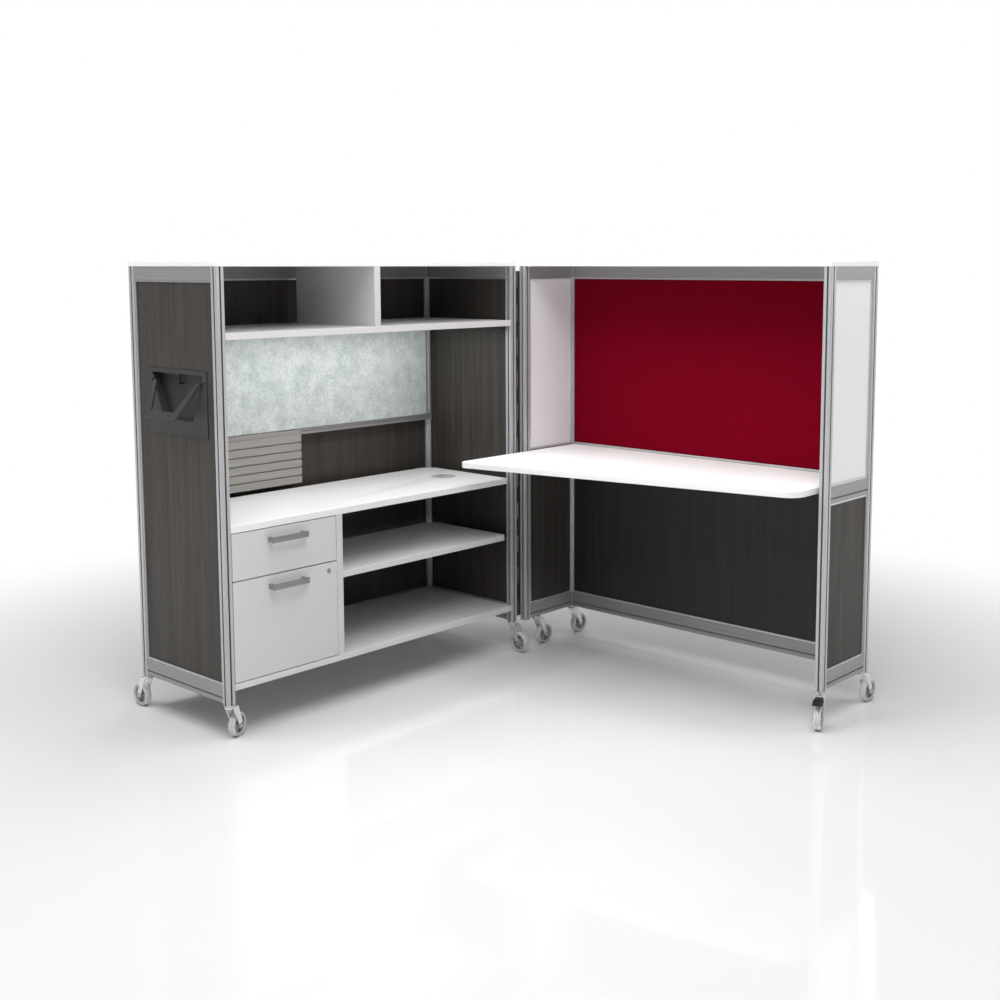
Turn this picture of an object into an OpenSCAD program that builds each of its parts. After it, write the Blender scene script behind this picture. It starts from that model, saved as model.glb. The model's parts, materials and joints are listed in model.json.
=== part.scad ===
// Folding cubicle workstation on casters: a storage half and a desk half joined by one upright hinge.
// Shown open at a right angle, as it stands in use. Millimetres, +Z up, floor at z = 0.

/* [Overall] */
// Width of each half, from the hinge side to the far side
half_w = 1300; // [1150:10:1500]
// Depth of the storage half
storage_d = 480; // [440:5:560]
// Depth of the desk half
desk_d = 300; // [280:5:380]
// Height of the corner posts
post_h = 1340; // [1300:10:1500]
// Height of the post feet above the floor
foot_h = 114; // [112:1:124]
// Thickness of the white top panels
top_t = 17; // [12:1:25]

/* [Frame] */
// Side of the square corner posts
post = 28; // [26:1:32]
// Height of the top rails
top_rail_h = 42; // [30:1:60]
// Height of the bottom rails
low_rail_h = 56; // [40:1:70]
// Height of the bottom rails' lower edge above the post feet
low_rail_z = 4; // [2:1:10]
// Height of the desk half's middle rails
mid_rail_h = 54; // [40:1:60]
// How far a rail stands back from the post faces
rail_back = 2; // [1:0.5:3]
// Width of the face groove in the rails
groove_w = 5; // [3:0.5:7]
// Depth of the face groove in the rails
groove_d = 2.5; // [1:0.5:4]
// Height of the groove above the rail's lower edge
groove_z = 16; // [10:1:22]
// Width of the slot mouth in a post face
slot_w = 6; // [5:0.5:8]
// Width of the slot behind its lips
slot_in_w = 11; // [9:0.5:12]
// Thickness of the slot's lips
lip_t = 1.6; // [1:0.2:2]
// Depth of a slot
slot_d = 6.5; // [5:0.5:7]

/* [Wall panels] */
// How far a wall panel stands back from the outer post face
panel_back = 8; // [6:0.5:9]
// Thickness of the storage half's wall panels
panel_t = 9; // [6:0.5:11]
// Thickness of the desk half's wall panels
desk_panel_t = 13; // [8:0.5:14]
// Width of the glazing beads round a panel
bead_w = 6; // [4:0.5:9]
// Thickness of the glazing beads
bead_t = 4; // [2:0.5:5]

/* [Storage fittings] */
// Height of the upper shelf's top above the post feet
upper_shelf_z = 1142; // [1080:1:1200]
// Thickness of the shelves and the worksurface
board_t = 21; // [16:1:25]
// Distance of the upper shelf's back edge from the back of the posts
upper_shelf_back = 40; // [40:5:100]
// Distance of the upper divider from the hinge side
divider_a = 660; // [500:5:900]
// Thickness of the upper divider
divider_t = 26; // [16:1:30]
// Distance of the upper divider's back edge from the back of the posts
divider_back = 63; // [50:1:180]
// Height of the storage worksurface's top above the post feet
work_z = 554; // [520:1:580]
// Distance of the worksurface's back edge from the back of the posts
work_back = 53; // [50:1:100]
// Distance of the worksurface's end from the hinge side
work_end = 50; // [40:1:70]
// Corner radius at the back of the worksurface and the middle shelf
back_r = 55; // [20:1:80]
// Height of the middle shelf's top above the post feet
mid_shelf_z = 341; // [250:1:400]
// Distance of the middle shelf's back edge from the back of the posts
mid_shelf_back = 78; // [60:1:180]
// Distance of the middle shelf's end from the hinge side
mid_shelf_end = 61; // [50:1:90]
// Small front corner radius of the middle shelf
front_r = 12; // [5:1:25]
// Height of the bottom shelf's top above the post feet
low_shelf_z = 62; // [61:1:66]
// Thickness of the bottom shelf
low_shelf_t = 20; // [16:1:22]
// Height of the tool rail's lower edge above the post feet
tool_rail_z = 741; // [700:1:800]
// Height of the tool rail
tool_rail_h = 22; // [16:1:40]
// Depth of the tool rail
tool_rail_d = 14; // [12:1:16]
// Distance of the display board's end from the hinge side
board_end = 50; // [40:1:80]
// Thickness of the display board
display_t = 10; // [6:1:12]
// Distance of the slat panel's end from the hinge side
slat_end = 670; // [500:5:900]
// Pitch of the slats
slat_pitch = 29.7; // [24:0.1:36]
// Gap between two slats
slat_gap = 4; // [3:0.5:6]
// Thickness of a slat
slat_t = 7; // [5:0.5:8]
// Thickness of the slat panel's back plate
slat_plate_t = 3; // [2:0.5:4]

/* [Pedestal and drawers] */
// Distance of the pedestal's open side from the hinge side
ped_a = 840; // [760:5:900]
// Thickness of the pedestal's exposed side
ped_side_t = 25; // [18:1:28]
// Thickness of its inner side and back
ped_in_t = 18; // [12:1:18]
// Distance of the pedestal's back from the back of the posts
ped_back = 40; // [35:5:60]
// Thickness of the drawer fronts
front_t = 20; // [16:1:22]
// Gap round the drawer fronts
front_gap = 3; // [2:0.5:4]
// Height of the lower edge of the upper drawer front
box_front_z = 383; // [360:1:420]
// Space behind the drawer boxes, counted from the pedestal's back
tray_back = 33; // [27:1:77]
// Wall thickness of the drawer boxes
tray_t = 11; // [8:0.5:14]
// Inner depth of the upper drawer box
box_tray_h = 92; // [60:1:110]
// Inner depth of the file drawer box
file_tray_h = 235; // [150:1:250]
// Space for a runner at each side of a drawer
runner_gap = 12.7; // [12:0.1:14]
// Height of a runner
runner_h = 36; // [30:1:45]
// Sheet thickness of the runner members
runner_t = 1.2; // [1:0.1:1.5]
// Length of a drawer pull
pull_l = 139; // [96:1:200]
// Height of a pull's bar
pull_h = 20; // [14:1:26]
// Thickness of a pull's bar
pull_t = 6; // [4:0.5:8]
// How far a pull stands out from its front
pull_out = 28; // [22:1:34]
// Distance of a pull's top from its front's upper edge
pull_drop = 25; // [15:1:40]
// Radius of the lock plug
lock_r = 6.5; // [5:0.5:8]
// Distance of the lock from the pedestal's open side
lock_in = 60; // [45:1:110]
// Distance of the lock from its front's upper edge
lock_drop = 27; // [20:1:60]

/* [Desk] */
// Height of the desk top above the post feet
desk_z = 652; // [640:1:670]
// Distance of the desk top's ends from the half's sides
desk_end = 36; // [36:1:60]
// How far the desk top reaches forward at the hinge side
desk_out = 358; // [200:1:380]
// How far its straight front edge reaches forward at the far end
desk_out_far = 120; // [60:1:160]
// Corner radius of the desk top at the hinge side
desk_r = 22; // [10:1:40]
// Corner radius of the desk top at the far end
desk_far_r = 62; // [30:1:80]
// Depth of a bracket below the desk top
bracket_h = 26; // [20:1:30]
// Thickness of the bracket plates
bracket_t = 4; // [3:0.5:6]
// Thickness of the fabric panel
tack_t = 18; // [13:1:20]

/* [Main hinge] */
// Gap between the two fronts when the halves are folded together
closed_gap = 10; // [8:1:14]
// Distance of the hinge pin outside the side face
pin_out = 4; // [4:0.5:6]
// Distance of the hinge pin behind the storage half's front
pin_in = 4; // [4:0.5:6]
// Radius of the hinge pin
pin_r = 1.6; // [1.2:0.1:2]
// Outer radius of the knuckles
knuckle_r = 3.7; // [3:0.1:3.7]
// Number of knuckles
knuckles = 21; // [9:2:25]
// Thickness of the leaves
leaf_t = 2.2; // [1.5:0.1:2.5]
// Distance of the hinge's ends from the post ends
hinge_end = 17; // [10:1:40]

/* [Pull handle] */
// Distance of the handle pan from the front post
pan_front = 44; // [36:1:60]
// Distance of the handle pan from the rear post
pan_rear = 65; // [40:1:80]
// Height of the handle pan
pan_h = 206; // [160:1:240]
// Height of the pan's lower edge above the post feet
pan_z = 818; // [800:1:900]
// Thickness of the pan's flange
pan_t = 3; // [2:0.5:4]
// Depth of the pocket behind the flange
pocket_d = 26; // [15:1:30]
// Length of the bail from its pivots to the middle of the grip
bail_l = 112; // [80:1:120]
// How much narrower the bail is than the pan
bail_inset = 61; // [50:1:80]
// How much narrower the bail's grip is than the bail
grip_inset = 94; // [80:1:140]
// Height of the bail's grip
grip_h = 26; // [16:1:32]
// Thickness of the bail
bail_t = 6; // [4:0.5:8]
// Angle at which the bail hangs out
bail_out = 30; // [20:1:60]

/* [Casters] */
// Diameter of a wheel
wheel_dia = 76; // [70:1:80]
// Width of a wheel
wheel_w = 24; // [20:1:25]
// Distance of the axle from the swivel axis
trail = 42; // [40:1:46]
// Radius of an axle
axle_r = 5; // [4:0.5:6]
// Thickness of a fork leg
leg_t = 2.5; // [2:0.5:3]
// How far the caster at the desk half's hinge stands behind its post
caster_inset = 62; // [60:1:90]
// Heading of the storage half's far front caster
front_turn = 113; // [105:1:120]
// Heading of the desk half's far front caster
brake_turn = -67; // [-75:1:-60]

/* [Grommet] */
// Distance of the grommet from the hinge side
grommet_a = 175; // [150:1:300]
// Distance of the grommet from the front
grommet_b = 213; // [150:1:300]
// Radius of the grommet's flange
grommet_r = 46; // [40:1:50]
// Radius of the grommet's opening
grommet_in_r = 37.5; // [30:0.5:38]

/* [Hidden] */

alu = [0.67, 0.67, 0.68];
bright = [0.86, 0.86, 0.87];
white = [0.93, 0.93, 0.93];
wood = [0.29, 0.28, 0.26];
dark = [0.2, 0.2, 0.21];
black = [0.05, 0.05, 0.05];
zinc = [0.78, 0.78, 0.8];
clear_grey = [0.72, 0.73, 0.74];

// Overrun of every cut, running clearance of a shaft, and gap beside a moving piece
over = 1;
run = 0.05;
gap = 0.3;
fine = 48;

// Depths that follow from the storage half's depth
upper_shelf_d = storage_d - upper_shelf_back;
divider_d = storage_d - divider_back;
work_d = storage_d - work_back;
mid_shelf_d = storage_d - mid_shelf_back;
ped_d = storage_d - ped_back;
tray_l = ped_d - front_t - front_gap - tray_back;
pan_y = post + pan_front;
pan_w = storage_d - 2 * post - pan_front - pan_rear;
bail_w = pan_w - bail_inset;
grip_w = bail_w - grip_inset;

// Places that follow from the sizes: the hinge pin in each half's own frame
storage_pin = [pin_out, pin_in];
desk_pin = [-pin_out, -closed_gap - pin_in];
side_gap = pin_in + closed_gap + pin_out;
rail_t = post - 2 * rail_back;
post_in = half_w - post;
wheel_r = wheel_dia / 2;
axle_z = wheel_r - foot_h;
leg_gap = 1.5;
fork_in = wheel_w / 2 + leg_gap;
fork_half = fork_in + leg_t;

// The row's origin is the middle of the bounding box on the floor
pedal_reach = 80;
pedal_w = 33;
bail_axis_x = half_w - panel_back + pan_t + bail_t / 2 + over;
bail_tip = bail_axis_x + (bail_l + grip_h / 2) * sin(bail_out) + bail_t / 2 * cos(bail_out);
x_lo = -(storage_d - post / 2 + trail + wheel_r);
x_hi = half_w - post / 2 + pedal_reach * cos(brake_turn) - pedal_w / 2 * sin(brake_turn);
y_lo = -side_gap - bail_tip;
y_hi = desk_d - post / 2 + trail + wheel_r;
origin = [(x_lo + x_hi) / 2, (y_lo + y_hi) / 2, 0];

// The desk half's frame: x runs from the hinge to the far side, y from the front to the back
module desk_place() {
    translate([-origin[0], -origin[1], foot_h]) children();
}

// The storage half's frame: x runs from the far side (-half_w) to the hinge (0), y as above
module storage_place() {
    translate([-origin[0], -origin[1] - side_gap, foot_h]) rotate([0, 0, 90]) children();
}

// A box from one corner to the opposite one
module block(lo, hi) {
    translate(lo) cube(hi - lo);
}

// Corner post: a square extrusion with a T-slot in each face and a core hole
corner_cut = 1.2;
core_r = 5.2;

module post_profile() {
    h = post / 2;
    c = h - corner_cut;
    difference() {
        polygon([[-c, -h], [c, -h], [h, -c], [h, c], [c, h], [-c, h], [-h, c], [-h, -c]]);
        for (turn = [0 : 90 : 270]) rotate(turn) {
            translate([-slot_w / 2, h - slot_d]) square([slot_w, slot_d + over]);
            translate([-slot_in_w / 2, h - slot_d]) square([slot_in_w, slot_d - lip_t]);
        }
        circle(r = core_r, $fn = fine);
    }
}

module post_at(x, y) {
    translate([x, y, 0]) linear_extrude(post_h) post_profile();
}

module posts(depth) {
    for (x = [post / 2, half_w - post / 2], y = [post / 2, depth - post / 2]) post_at(x, y);
}

// Rail along x between two posts, with the groove in both faces
module rail(length, height, z, grooved = true) {
    translate([0, 0, z]) difference() {
        translate([0, -rail_t / 2, 0]) cube([length, rail_t, height]);
        if (grooved) for (side = [-1, 1]) {
            translate([-over, side * rail_t / 2 - groove_d, groove_z - groove_w / 2])
                cube([length + 2 * over, 2 * groove_d, groove_w]);
        }
    }
}

// Three walls of one half: each is a row of rails turned to its side, given depth d and the heights' list
module three_walls(d) {
    translate([post, d - post / 2, 0]) children(0);
    translate([post / 2, post, 0]) rotate([0, 0, 90]) children(1);
    translate([half_w - post / 2, post, 0]) rotate([0, 0, 90]) children(1);
}

module wall_rails(length, mids) {
    rail(length, low_rail_h, low_rail_z);
    rail(length, top_rail_h, post_h - top_rail_h, false);
    for (z = mids) rail(length, mid_rail_h, z);
}

// Four glazing beads round an opening in the xz plane, standing from y towards +y
module bead_frame(length, z0, z1, y) {
    block([0, y, z0], [length, y + bead_t, z0 + bead_w]);
    block([0, y, z1 - bead_w], [length, y + bead_t, z1]);
    block([0, y, z0 + bead_w], [bead_w, y + bead_t, z1 - bead_w]);
    block([length - bead_w, y, z0 + bead_w], [length, y + bead_t, z1 - bead_w]);
}

// Beads on both faces of a panel of thickness t; out is +1 where the outer face looks to +y
module beads(length, z0, z1, t, out) {
    face_out = out * (post / 2 - panel_back);
    face_in = out * (post / 2 - panel_back - t);
    bead_frame(length, z0, z1, out > 0 ? face_out : face_out - bead_t);
    bead_frame(length, z0, z1, out > 0 ? face_in - bead_t : face_in);
}

module wall_panel(length, z0, z1, t, out) {
    y0 = out > 0 ? post / 2 - panel_back - t : panel_back - post / 2;
    block([0, y0, z0], [length, y0 + t, z1]);
}

low_rail_top = low_rail_z + low_rail_h;
top_rail_low = post_h - top_rail_h;
rail_rise = 2;
mid_rail_z = desk_z + rail_rise - mid_rail_h;
mid_rail_top = mid_rail_z + mid_rail_h;

// Storage half, mirrored in x because its hinge side lies at x = 0 and its far side at -half_w
module storage_mirror() {
    storage_place() mirror([1, 0, 0]) children();
}

module storage_posts() {
    color(alu) storage_mirror() posts(storage_d);
}

module storage_rails() {
    color(alu) storage_mirror() three_walls(storage_d) {
        wall_rails(half_w - 2 * post, []);
        wall_rails(storage_d - 2 * post, []);
    }
}

module storage_beads() {
    side_l = storage_d - 2 * post;
    color(bright) storage_mirror() {
        translate([post, storage_d - post / 2, 0])
            beads(post_in - post, low_rail_top, top_rail_low, panel_t, 1);
        translate([post / 2, post, 0]) rotate([0, 0, 90]) beads(side_l, low_rail_top, top_rail_low, panel_t, 1);
        translate([half_w - post / 2, post, 0]) rotate([0, 0, 90])
            beads(side_l, low_rail_top, top_rail_low, panel_t, -1);
    }
}

// The far side panel is cut out behind the handle's pocket
pocket_top_share = 0.88;
pocket_low_share = 0.52;
pocket_wall = 2;
pocket_low_edge = 46;
pocket_top_edge = 14;
pocket_low = pan_z + pocket_low_edge;
pocket_top = pan_z + pan_h - pocket_top_edge;
pan_mid = pan_y + pan_w / 2;

module pocket_outline(grow) {
    top_half = pan_w * pocket_top_share / 2 + grow;
    low_half = pan_w * pocket_low_share / 2 + grow;
    polygon([
        [pan_mid - low_half, pocket_low - grow], [pan_mid + low_half, pocket_low - grow],
        [pan_mid + top_half, pocket_top + grow], [pan_mid - top_half, pocket_top + grow]]);
}

// Turns an outline drawn in y and z into a plate that stands from x towards +x
module side_plate(x, t) {
    translate([x, 0, 0]) rotate([90, 0, 90]) linear_extrude(t) children();
}

module storage_wall_panels() {
    side_l = storage_d - 2 * post;
    color(wood) storage_mirror() {
        translate([post, storage_d - post / 2, 0])
            wall_panel(post_in - post, low_rail_top, top_rail_low, panel_t, 1);
        translate([post / 2, post, 0]) rotate([0, 0, 90])
            wall_panel(side_l, low_rail_top, top_rail_low, panel_t, 1);
        difference() {
            translate([half_w - post / 2, post, 0]) rotate([0, 0, 90])
                wall_panel(side_l, low_rail_top, top_rail_low, panel_t, -1);
            side_plate(half_w - post, post) pocket_outline(pocket_wall);
        }
    }
}

module storage_top_panel() {
    color(white) storage_mirror() block([0, 0, post_h], [half_w, storage_d, post_h + top_t]);
}

// A board seen from above with its back corner at the hinge side rounded
module rounded_board(x0, x1, d, r_back, r_front, z_top) {
    translate([0, 0, z_top - board_t]) linear_extrude(board_t) difference() {
        translate([x0, 0]) square([x1 - x0, d]);
        difference() {
            translate([x0 - over, d - r_back]) square([r_back + over, r_back + over]);
            translate([x0 + r_back, d - r_back]) circle(r = r_back, $fn = fine);
        }
        difference() {
            translate([x0 - over, -over]) square([r_front + over, r_front + over]);
            translate([x0 + r_front, r_front]) circle(r = r_front, $fn = fine);
        }
    }
}

low_shelf_d = storage_d - post + rail_back;

module storage_shelves() {
    color(white) storage_mirror() {
        block([post, 0, upper_shelf_z - board_t], [post_in, upper_shelf_d, upper_shelf_z]);
        rounded_board(mid_shelf_end, ped_a, mid_shelf_d, back_r, front_r, mid_shelf_z);
        block([post, 0, low_shelf_z - low_shelf_t], [post_in, low_shelf_d, low_shelf_z]);
    }
}

module upper_divider() {
    color(white) storage_mirror()
        block([divider_a, 0, upper_shelf_z], [divider_a + divider_t, divider_d, post_h]);
}

// Depths of the back wall's fittings, counted from the front faces of the rear posts
back_face = storage_d - post;
side_face = panel_back + panel_t + bead_t;
board_front = back_face - tool_rail_d - rail_back;

module display_board() {
    color([0.73, 0.78, 0.79]) storage_mirror()
        block([board_end, board_front, tool_rail_z + tool_rail_h],
              [half_w - side_face, board_front + display_t, upper_shelf_z - board_t]);
}

tool_lip = 3;

module tool_rail() {
    z_mid = tool_rail_z + tool_rail_h / 2;
    color(alu) storage_mirror() difference() {
        block([side_face, back_face - tool_rail_d, tool_rail_z],
              [half_w - side_face, back_face, tool_rail_z + tool_rail_h]);
        block([0, back_face - tool_rail_d - over, z_mid - groove_w / 2],
              [half_w, back_face - tool_rail_d + groove_d, z_mid + groove_w / 2]);
        block([0, back_face - tool_rail_d - over, tool_rail_z + tool_rail_h - tool_lip],
              [half_w, back_face - tool_rail_d + tool_lip, tool_rail_z + tool_rail_h - tool_lip / 2]);
    }
}

slat_y = back_face - tool_rail_d - slat_plate_t - slat_t;
slat_h = slat_pitch - slat_gap;
slat_low = work_z + 2 * slat_t;

// Slat section: flat face with half round edges
module slat_section() {
    r = slat_t / 2;
    square([slat_t, slat_h - slat_t]);
    for (z = [0, slat_h - slat_t]) translate([r, z]) circle(r = r, $fn = fine);
}

module slat_panel() {
    far = half_w - side_face - over;
    count = floor((tool_rail_z + tool_rail_h / 2 - slat_low) / slat_pitch);
    plate_top = tool_rail_z + tool_rail_h - tool_lip;
    color([0.6, 0.59, 0.57]) storage_mirror() union() {
        block([slat_end + slat_gap, slat_y + slat_t, slat_low],
              [far, slat_y + slat_t + slat_plate_t, plate_top]);
        for (i = [0 : count - 1])
            translate([slat_end, slat_y, slat_low + i * slat_pitch + slat_t / 2])
                rotate([90, 0, 90]) linear_extrude(far - slat_end) slat_section();
    }
}

module storage_worksurface() {
    color(white) storage_mirror() difference() {
        rounded_board(work_end, post_in, work_d, back_r, front_r / 4, work_z);
        translate([grommet_a, grommet_b, work_z - board_t - over])
            cylinder(r = grommet_in_r + grommet_wall, h = board_t + 2 * over, $fn = fine);
        translate([grommet_a, grommet_b, work_z - flange_t])
            cylinder(r = grommet_r, h = flange_t + over, $fn = fine);
    }
}

// Cleats and angles that carry the boards from the side walls and the rear posts
cleat_h = 16;
cleat_reach = 20;
angle_h = 30;

module cleat(x0, x1, z) {
    block([x0, post, z - cleat_h], [x1, board_front - over, z]);
}

// An angle along the hinge side wall, between the posts: an upright leg and a leg under the board
module side_angle(reach, depth, z) {
    x0 = side_face;
    union() {
        block([x0, post, z - angle_h], [x0 + bracket_t, back_face, z]);
        block([x0, post, z - bracket_t], [reach, depth, z]);
    }
}

module storage_brackets() {
    color(dark) storage_mirror() {
        cleat(side_face, post + cleat_reach, upper_shelf_z - board_t);
        cleat(post_in - cleat_reach, half_w - side_face, upper_shelf_z - board_t);
        side_angle(work_end + cleat_reach, work_d - back_r, work_z - board_t);
        side_angle(mid_shelf_end + cleat_reach, mid_shelf_d - back_r, mid_shelf_z - board_t);
    }
}

// Grommet: a flanged ring let in flush with the worksurface and a turning cap with a cable notch
grommet_wall = 2.5;
flange_t = 1.5;
cap_t = 3;
cap_lip = 3;
notch_w = 26;
notch_d = 16;

module grommet_ring() {
    color(alu) storage_mirror() translate([grommet_a, grommet_b, work_z]) rotate_extrude($fn = fine)
        polygon([
            [grommet_in_r, 0], [grommet_r, 0], [grommet_r, -flange_t],
            [grommet_in_r + grommet_wall, -flange_t], [grommet_in_r + grommet_wall, -board_t],
            [grommet_in_r - cap_lip, -board_t], [grommet_in_r - cap_lip, -cap_t - 2 * gap],
            [grommet_in_r, -cap_t - 2 * gap]]);
}

module grommet_cap() {
    r = grommet_in_r - gap;
    color(bright) storage_mirror() translate([grommet_a, grommet_b, work_z - cap_t]) difference() {
        cylinder(r = r, h = cap_t, $fn = fine);
        translate([-notch_w / 2, notch_d, -over]) cube([notch_w, r, cap_t + 2 * over]);
        translate([0, notch_d, -over]) cylinder(r = notch_w / 2, h = cap_t + 2 * over, $fn = fine);
    }
}

// Pedestal: exposed side, inner side, back and a stretcher under the worksurface
front_far = post_in - front_gap / 2;
ped_w = front_far - ped_in_t - ped_a - ped_side_t;
ped_top = work_z - board_t;
ped_inner = ped_a + ped_side_t;
ped_outer = ped_inner + ped_w;
stretcher_d = 60;
stretcher_t = 6;

module pedestal_panels() {
    color(white) storage_mirror() {
        block([ped_a, 0, low_shelf_z], [ped_inner, ped_d, ped_top]);
        block([ped_outer, front_t + front_gap, low_shelf_z], [ped_outer + ped_in_t, ped_d, ped_top]);
        block([ped_inner, ped_d - ped_in_t / 2, low_shelf_z], [ped_outer, ped_d, ped_top]);
        block([ped_inner, front_t + front_gap, ped_top - stretcher_t],
              [ped_outer, front_t + front_gap + stretcher_d, ped_top]);
    }
}

// Runner members are three nested channels; this one runs along y and opens towards +x
module channel(h, depth, length) {
    rotate([90, 0, 0]) mirror([0, 0, 1]) linear_extrude(length) difference() {
        translate([0, -h / 2]) square([depth, h]);
        translate([runner_t, runner_t - h / 2]) square([depth, h - 2 * runner_t]);
    }
}

nest = 0.5;
mid_h = runner_h - 2 * (runner_t + nest);
in_h = mid_h - 2 * (runner_t + nest);
cab_share = 0.75;
cab_depth = runner_gap * cab_share;
mid_x = runner_t + nest;
in_depth = runner_gap - 2 * runner_t - 2 * nest;
front_back = front_t + front_gap;
box_mid_share = 0.45;
box_mid_z = box_front_z + (ped_top - box_front_z) * box_mid_share;
file_low = low_shelf_z + front_gap;
file_top = box_front_z - front_gap;
file_mid_z = (file_low + file_top) / 2;

// A member at both sides of the drawer: offset from the pedestal's walls, channel height and depth
module both_sides(offset, h, depth, z, y) {
    translate([ped_inner + offset, y, z]) channel(h, depth, tray_l);
    translate([ped_outer - offset, y, z]) mirror([1, 0, 0]) channel(h, depth, tray_l);
}

module drawer_members(z) {
    for (side = [0, 1]) translate([side ? ped_outer - runner_gap : ped_inner + runner_gap, front_back, z])
        mirror([side ? 0 : 1, 0, 0]) channel(in_h, in_depth, tray_l);
}

module runner_cabinet_members() {
    color(zinc) storage_mirror()
        for (z = [box_mid_z, file_mid_z]) both_sides(0, runner_h, cab_depth, z, front_back);
}

module box_runner_middles() {
    color(zinc) storage_mirror() both_sides(mid_x, mid_h, cab_depth, box_mid_z, front_back);
}

module file_runner_middles() {
    color(zinc) storage_mirror() both_sides(mid_x, mid_h, cab_depth, file_mid_z, front_back);
}

// Drawer box: three walls and a floor, closed in front by the drawer front
tray_floor = 9;

module tray(z_low, inner_h) {
    x0 = ped_inner + runner_gap;
    x1 = ped_outer - runner_gap;
    difference() {
        block([x0, front_t, z_low], [x1, front_back + tray_l, z_low + tray_floor + inner_h]);
        block([x0 + tray_t, front_t - over, z_low + tray_floor],
              [x1 - tray_t, front_back + tray_l - tray_t, z_low + tray_floor + inner_h + over]);
    }
}

box_tray_z = box_mid_z - (box_tray_h + tray_floor) / 2;
file_tray_z = file_mid_z - (file_tray_h + tray_floor) / 2;

module box_drawer_tray() {
    color(bright) storage_mirror() {
        tray(box_tray_z, box_tray_h);
        drawer_members(box_mid_z);
    }
}

module file_drawer_tray() {
    color(bright) storage_mirror() {
        tray(file_tray_z, file_tray_h);
        drawer_members(file_mid_z);
    }
}

box_top = ped_top - front_gap;
front_near = ped_inner + front_gap / 2;
pull_a = (front_near + front_far - pull_l) / 2;

module box_drawer_front() {
    color(white) storage_mirror() block([front_near, 0, box_front_z], [front_far, front_t, box_top]);
}

lock_a = ped_a + lock_in;
lock_z = file_top - lock_drop;

module file_drawer_front() {
    color(white) storage_mirror() difference() {
        block([front_near, 0, file_low], [front_far, front_t, file_top]);
        translate([lock_a, -over, lock_z]) rotate([-90, 0, 0])
            cylinder(r = lock_r + run, h = front_t + 2 * over, $fn = fine);
    }
}

// Pull: a flat bar with its top edge rolled back, on two feet
foot_l = 12;
pull_edge = 2.5;

// Section with round corners: y along the first size, z along the second
module round_section(w, h, r) {
    translate([r, 0]) square([w - 2 * r, h]);
    translate([0, r]) square([w, h - 2 * r]);
    for (y = [r, w - r], z = [r, h - r]) translate([y, z]) circle(r = r, $fn = fine);
}

module pull(z_top) {
    translate([pull_a, -pull_out, z_top - pull_h]) {
        rotate([90, 0, 90]) linear_extrude(pull_l) round_section(pull_t, pull_h, pull_edge);
        for (x = [0, pull_l - foot_l]) translate([x, pull_t / 2, pull_edge])
            cube([foot_l, pull_out - pull_t / 2, pull_h - 2 * pull_edge]);
    }
}

module box_drawer_pull() {
    color(alu) storage_mirror() union() pull(box_top - pull_drop);
}

module file_drawer_pull() {
    color(alu) storage_mirror() union() pull(file_top - pull_drop);
}

// Lock plug with its keyway, collar and cam
collar_r = 8;
collar_t = 1.5;
cam_l = 20;
cam_w = 9;
cam_t = 2;
key_w = 1.6;
key_h = 8;

module lock_plug() {
    color(zinc) storage_mirror() translate([lock_a, 0, lock_z]) rotate([-90, 0, 0]) difference() {
        union() {
            translate([0, 0, -collar_t - gap]) cylinder(r = collar_r, h = collar_t, $fn = fine);
            translate([0, 0, -collar_t]) cylinder(r = lock_r, h = front_t + collar_t + gap + cam_t, $fn = fine);
            translate([-cam_w / 2, -cam_l, front_t + gap]) cube([cam_w, cam_l, cam_t]);
        }
        translate([-key_w / 2, -key_h / 2, -collar_t - gap - over]) cube([key_w, key_h, front_t / 2]);
    }
}

// Handle pan: a flange on the far side panel with a tapering pocket, and ears for the bail
ear_w = 8;
ear_r = 7;
bail_pin_r = 3.5;
bail_drop = 28;
bail_z = pocket_top - bail_drop;
ear_gap = 0.5;

module pan_ear(y) {
    x0 = half_w - panel_back;
    difference() {
        union() {
            translate([bail_axis_x, y + ear_w, bail_z]) rotate([90, 0, 0])
                cylinder(r = ear_r, h = ear_w, $fn = fine);
            block([x0, y, bail_z - ear_r], [bail_axis_x, y + ear_w, bail_z + ear_r]);
        }
        translate([bail_axis_x, y + ear_w + over, bail_z]) rotate([90, 0, 0])
            cylinder(r = bail_pin_r + run, h = ear_w + 2 * over, $fn = fine);
    }
}

latch_r = 3.5;
latch_l = 34;
latch_foot_r = 9;
latch_foot_t = 4;
latch_off = 10;
latch_y = pan_mid + latch_off;
latch_x = half_w - panel_back - pocket_d / 2;
latch_low = pocket_top - latch_l;
boss_r = 7;
boss_h = 8;

module handle_pan() {
    x0 = half_w - panel_back;
    color(dark) storage_mirror() union() {
        difference() {
            union() {
                block([x0, pan_y, pan_z], [x0 + pan_t, pan_y + pan_w, pan_z + pan_h]);
                side_plate(x0 - pocket_d, pocket_d + over) pocket_outline(pocket_wall - gap);
            }
            side_plate(x0 - pocket_d + pocket_wall, pocket_d + post) pocket_outline(0);
        }
        pan_ear(pan_mid - bail_w / 2 - ear_w - ear_gap);
        pan_ear(pan_mid + bail_w / 2 + ear_gap);
        difference() {
            translate([latch_x, latch_y, pocket_top - boss_h])
                cylinder(r = boss_r, h = boss_h + over, $fn = fine);
            translate([latch_x, latch_y, pocket_top - boss_h - over])
                cylinder(r = latch_r + run, h = boss_h - over, $fn = fine);
        }
    }
}

// Latch plunger that hangs from the pocket's roof

module handle_latch() {
    color(black) storage_mirror() translate([latch_x, latch_y, latch_low]) union() {
        cylinder(r = latch_foot_r, h = latch_foot_t, $fn = fine);
        cylinder(r = latch_r, h = latch_l - boss_h + over, $fn = fine);
    }
}

// Bail drawn flat: its pivots on the y axis at z = 0 and its grip below
arm_w = 17;
bail_head = 3.5;

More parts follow.
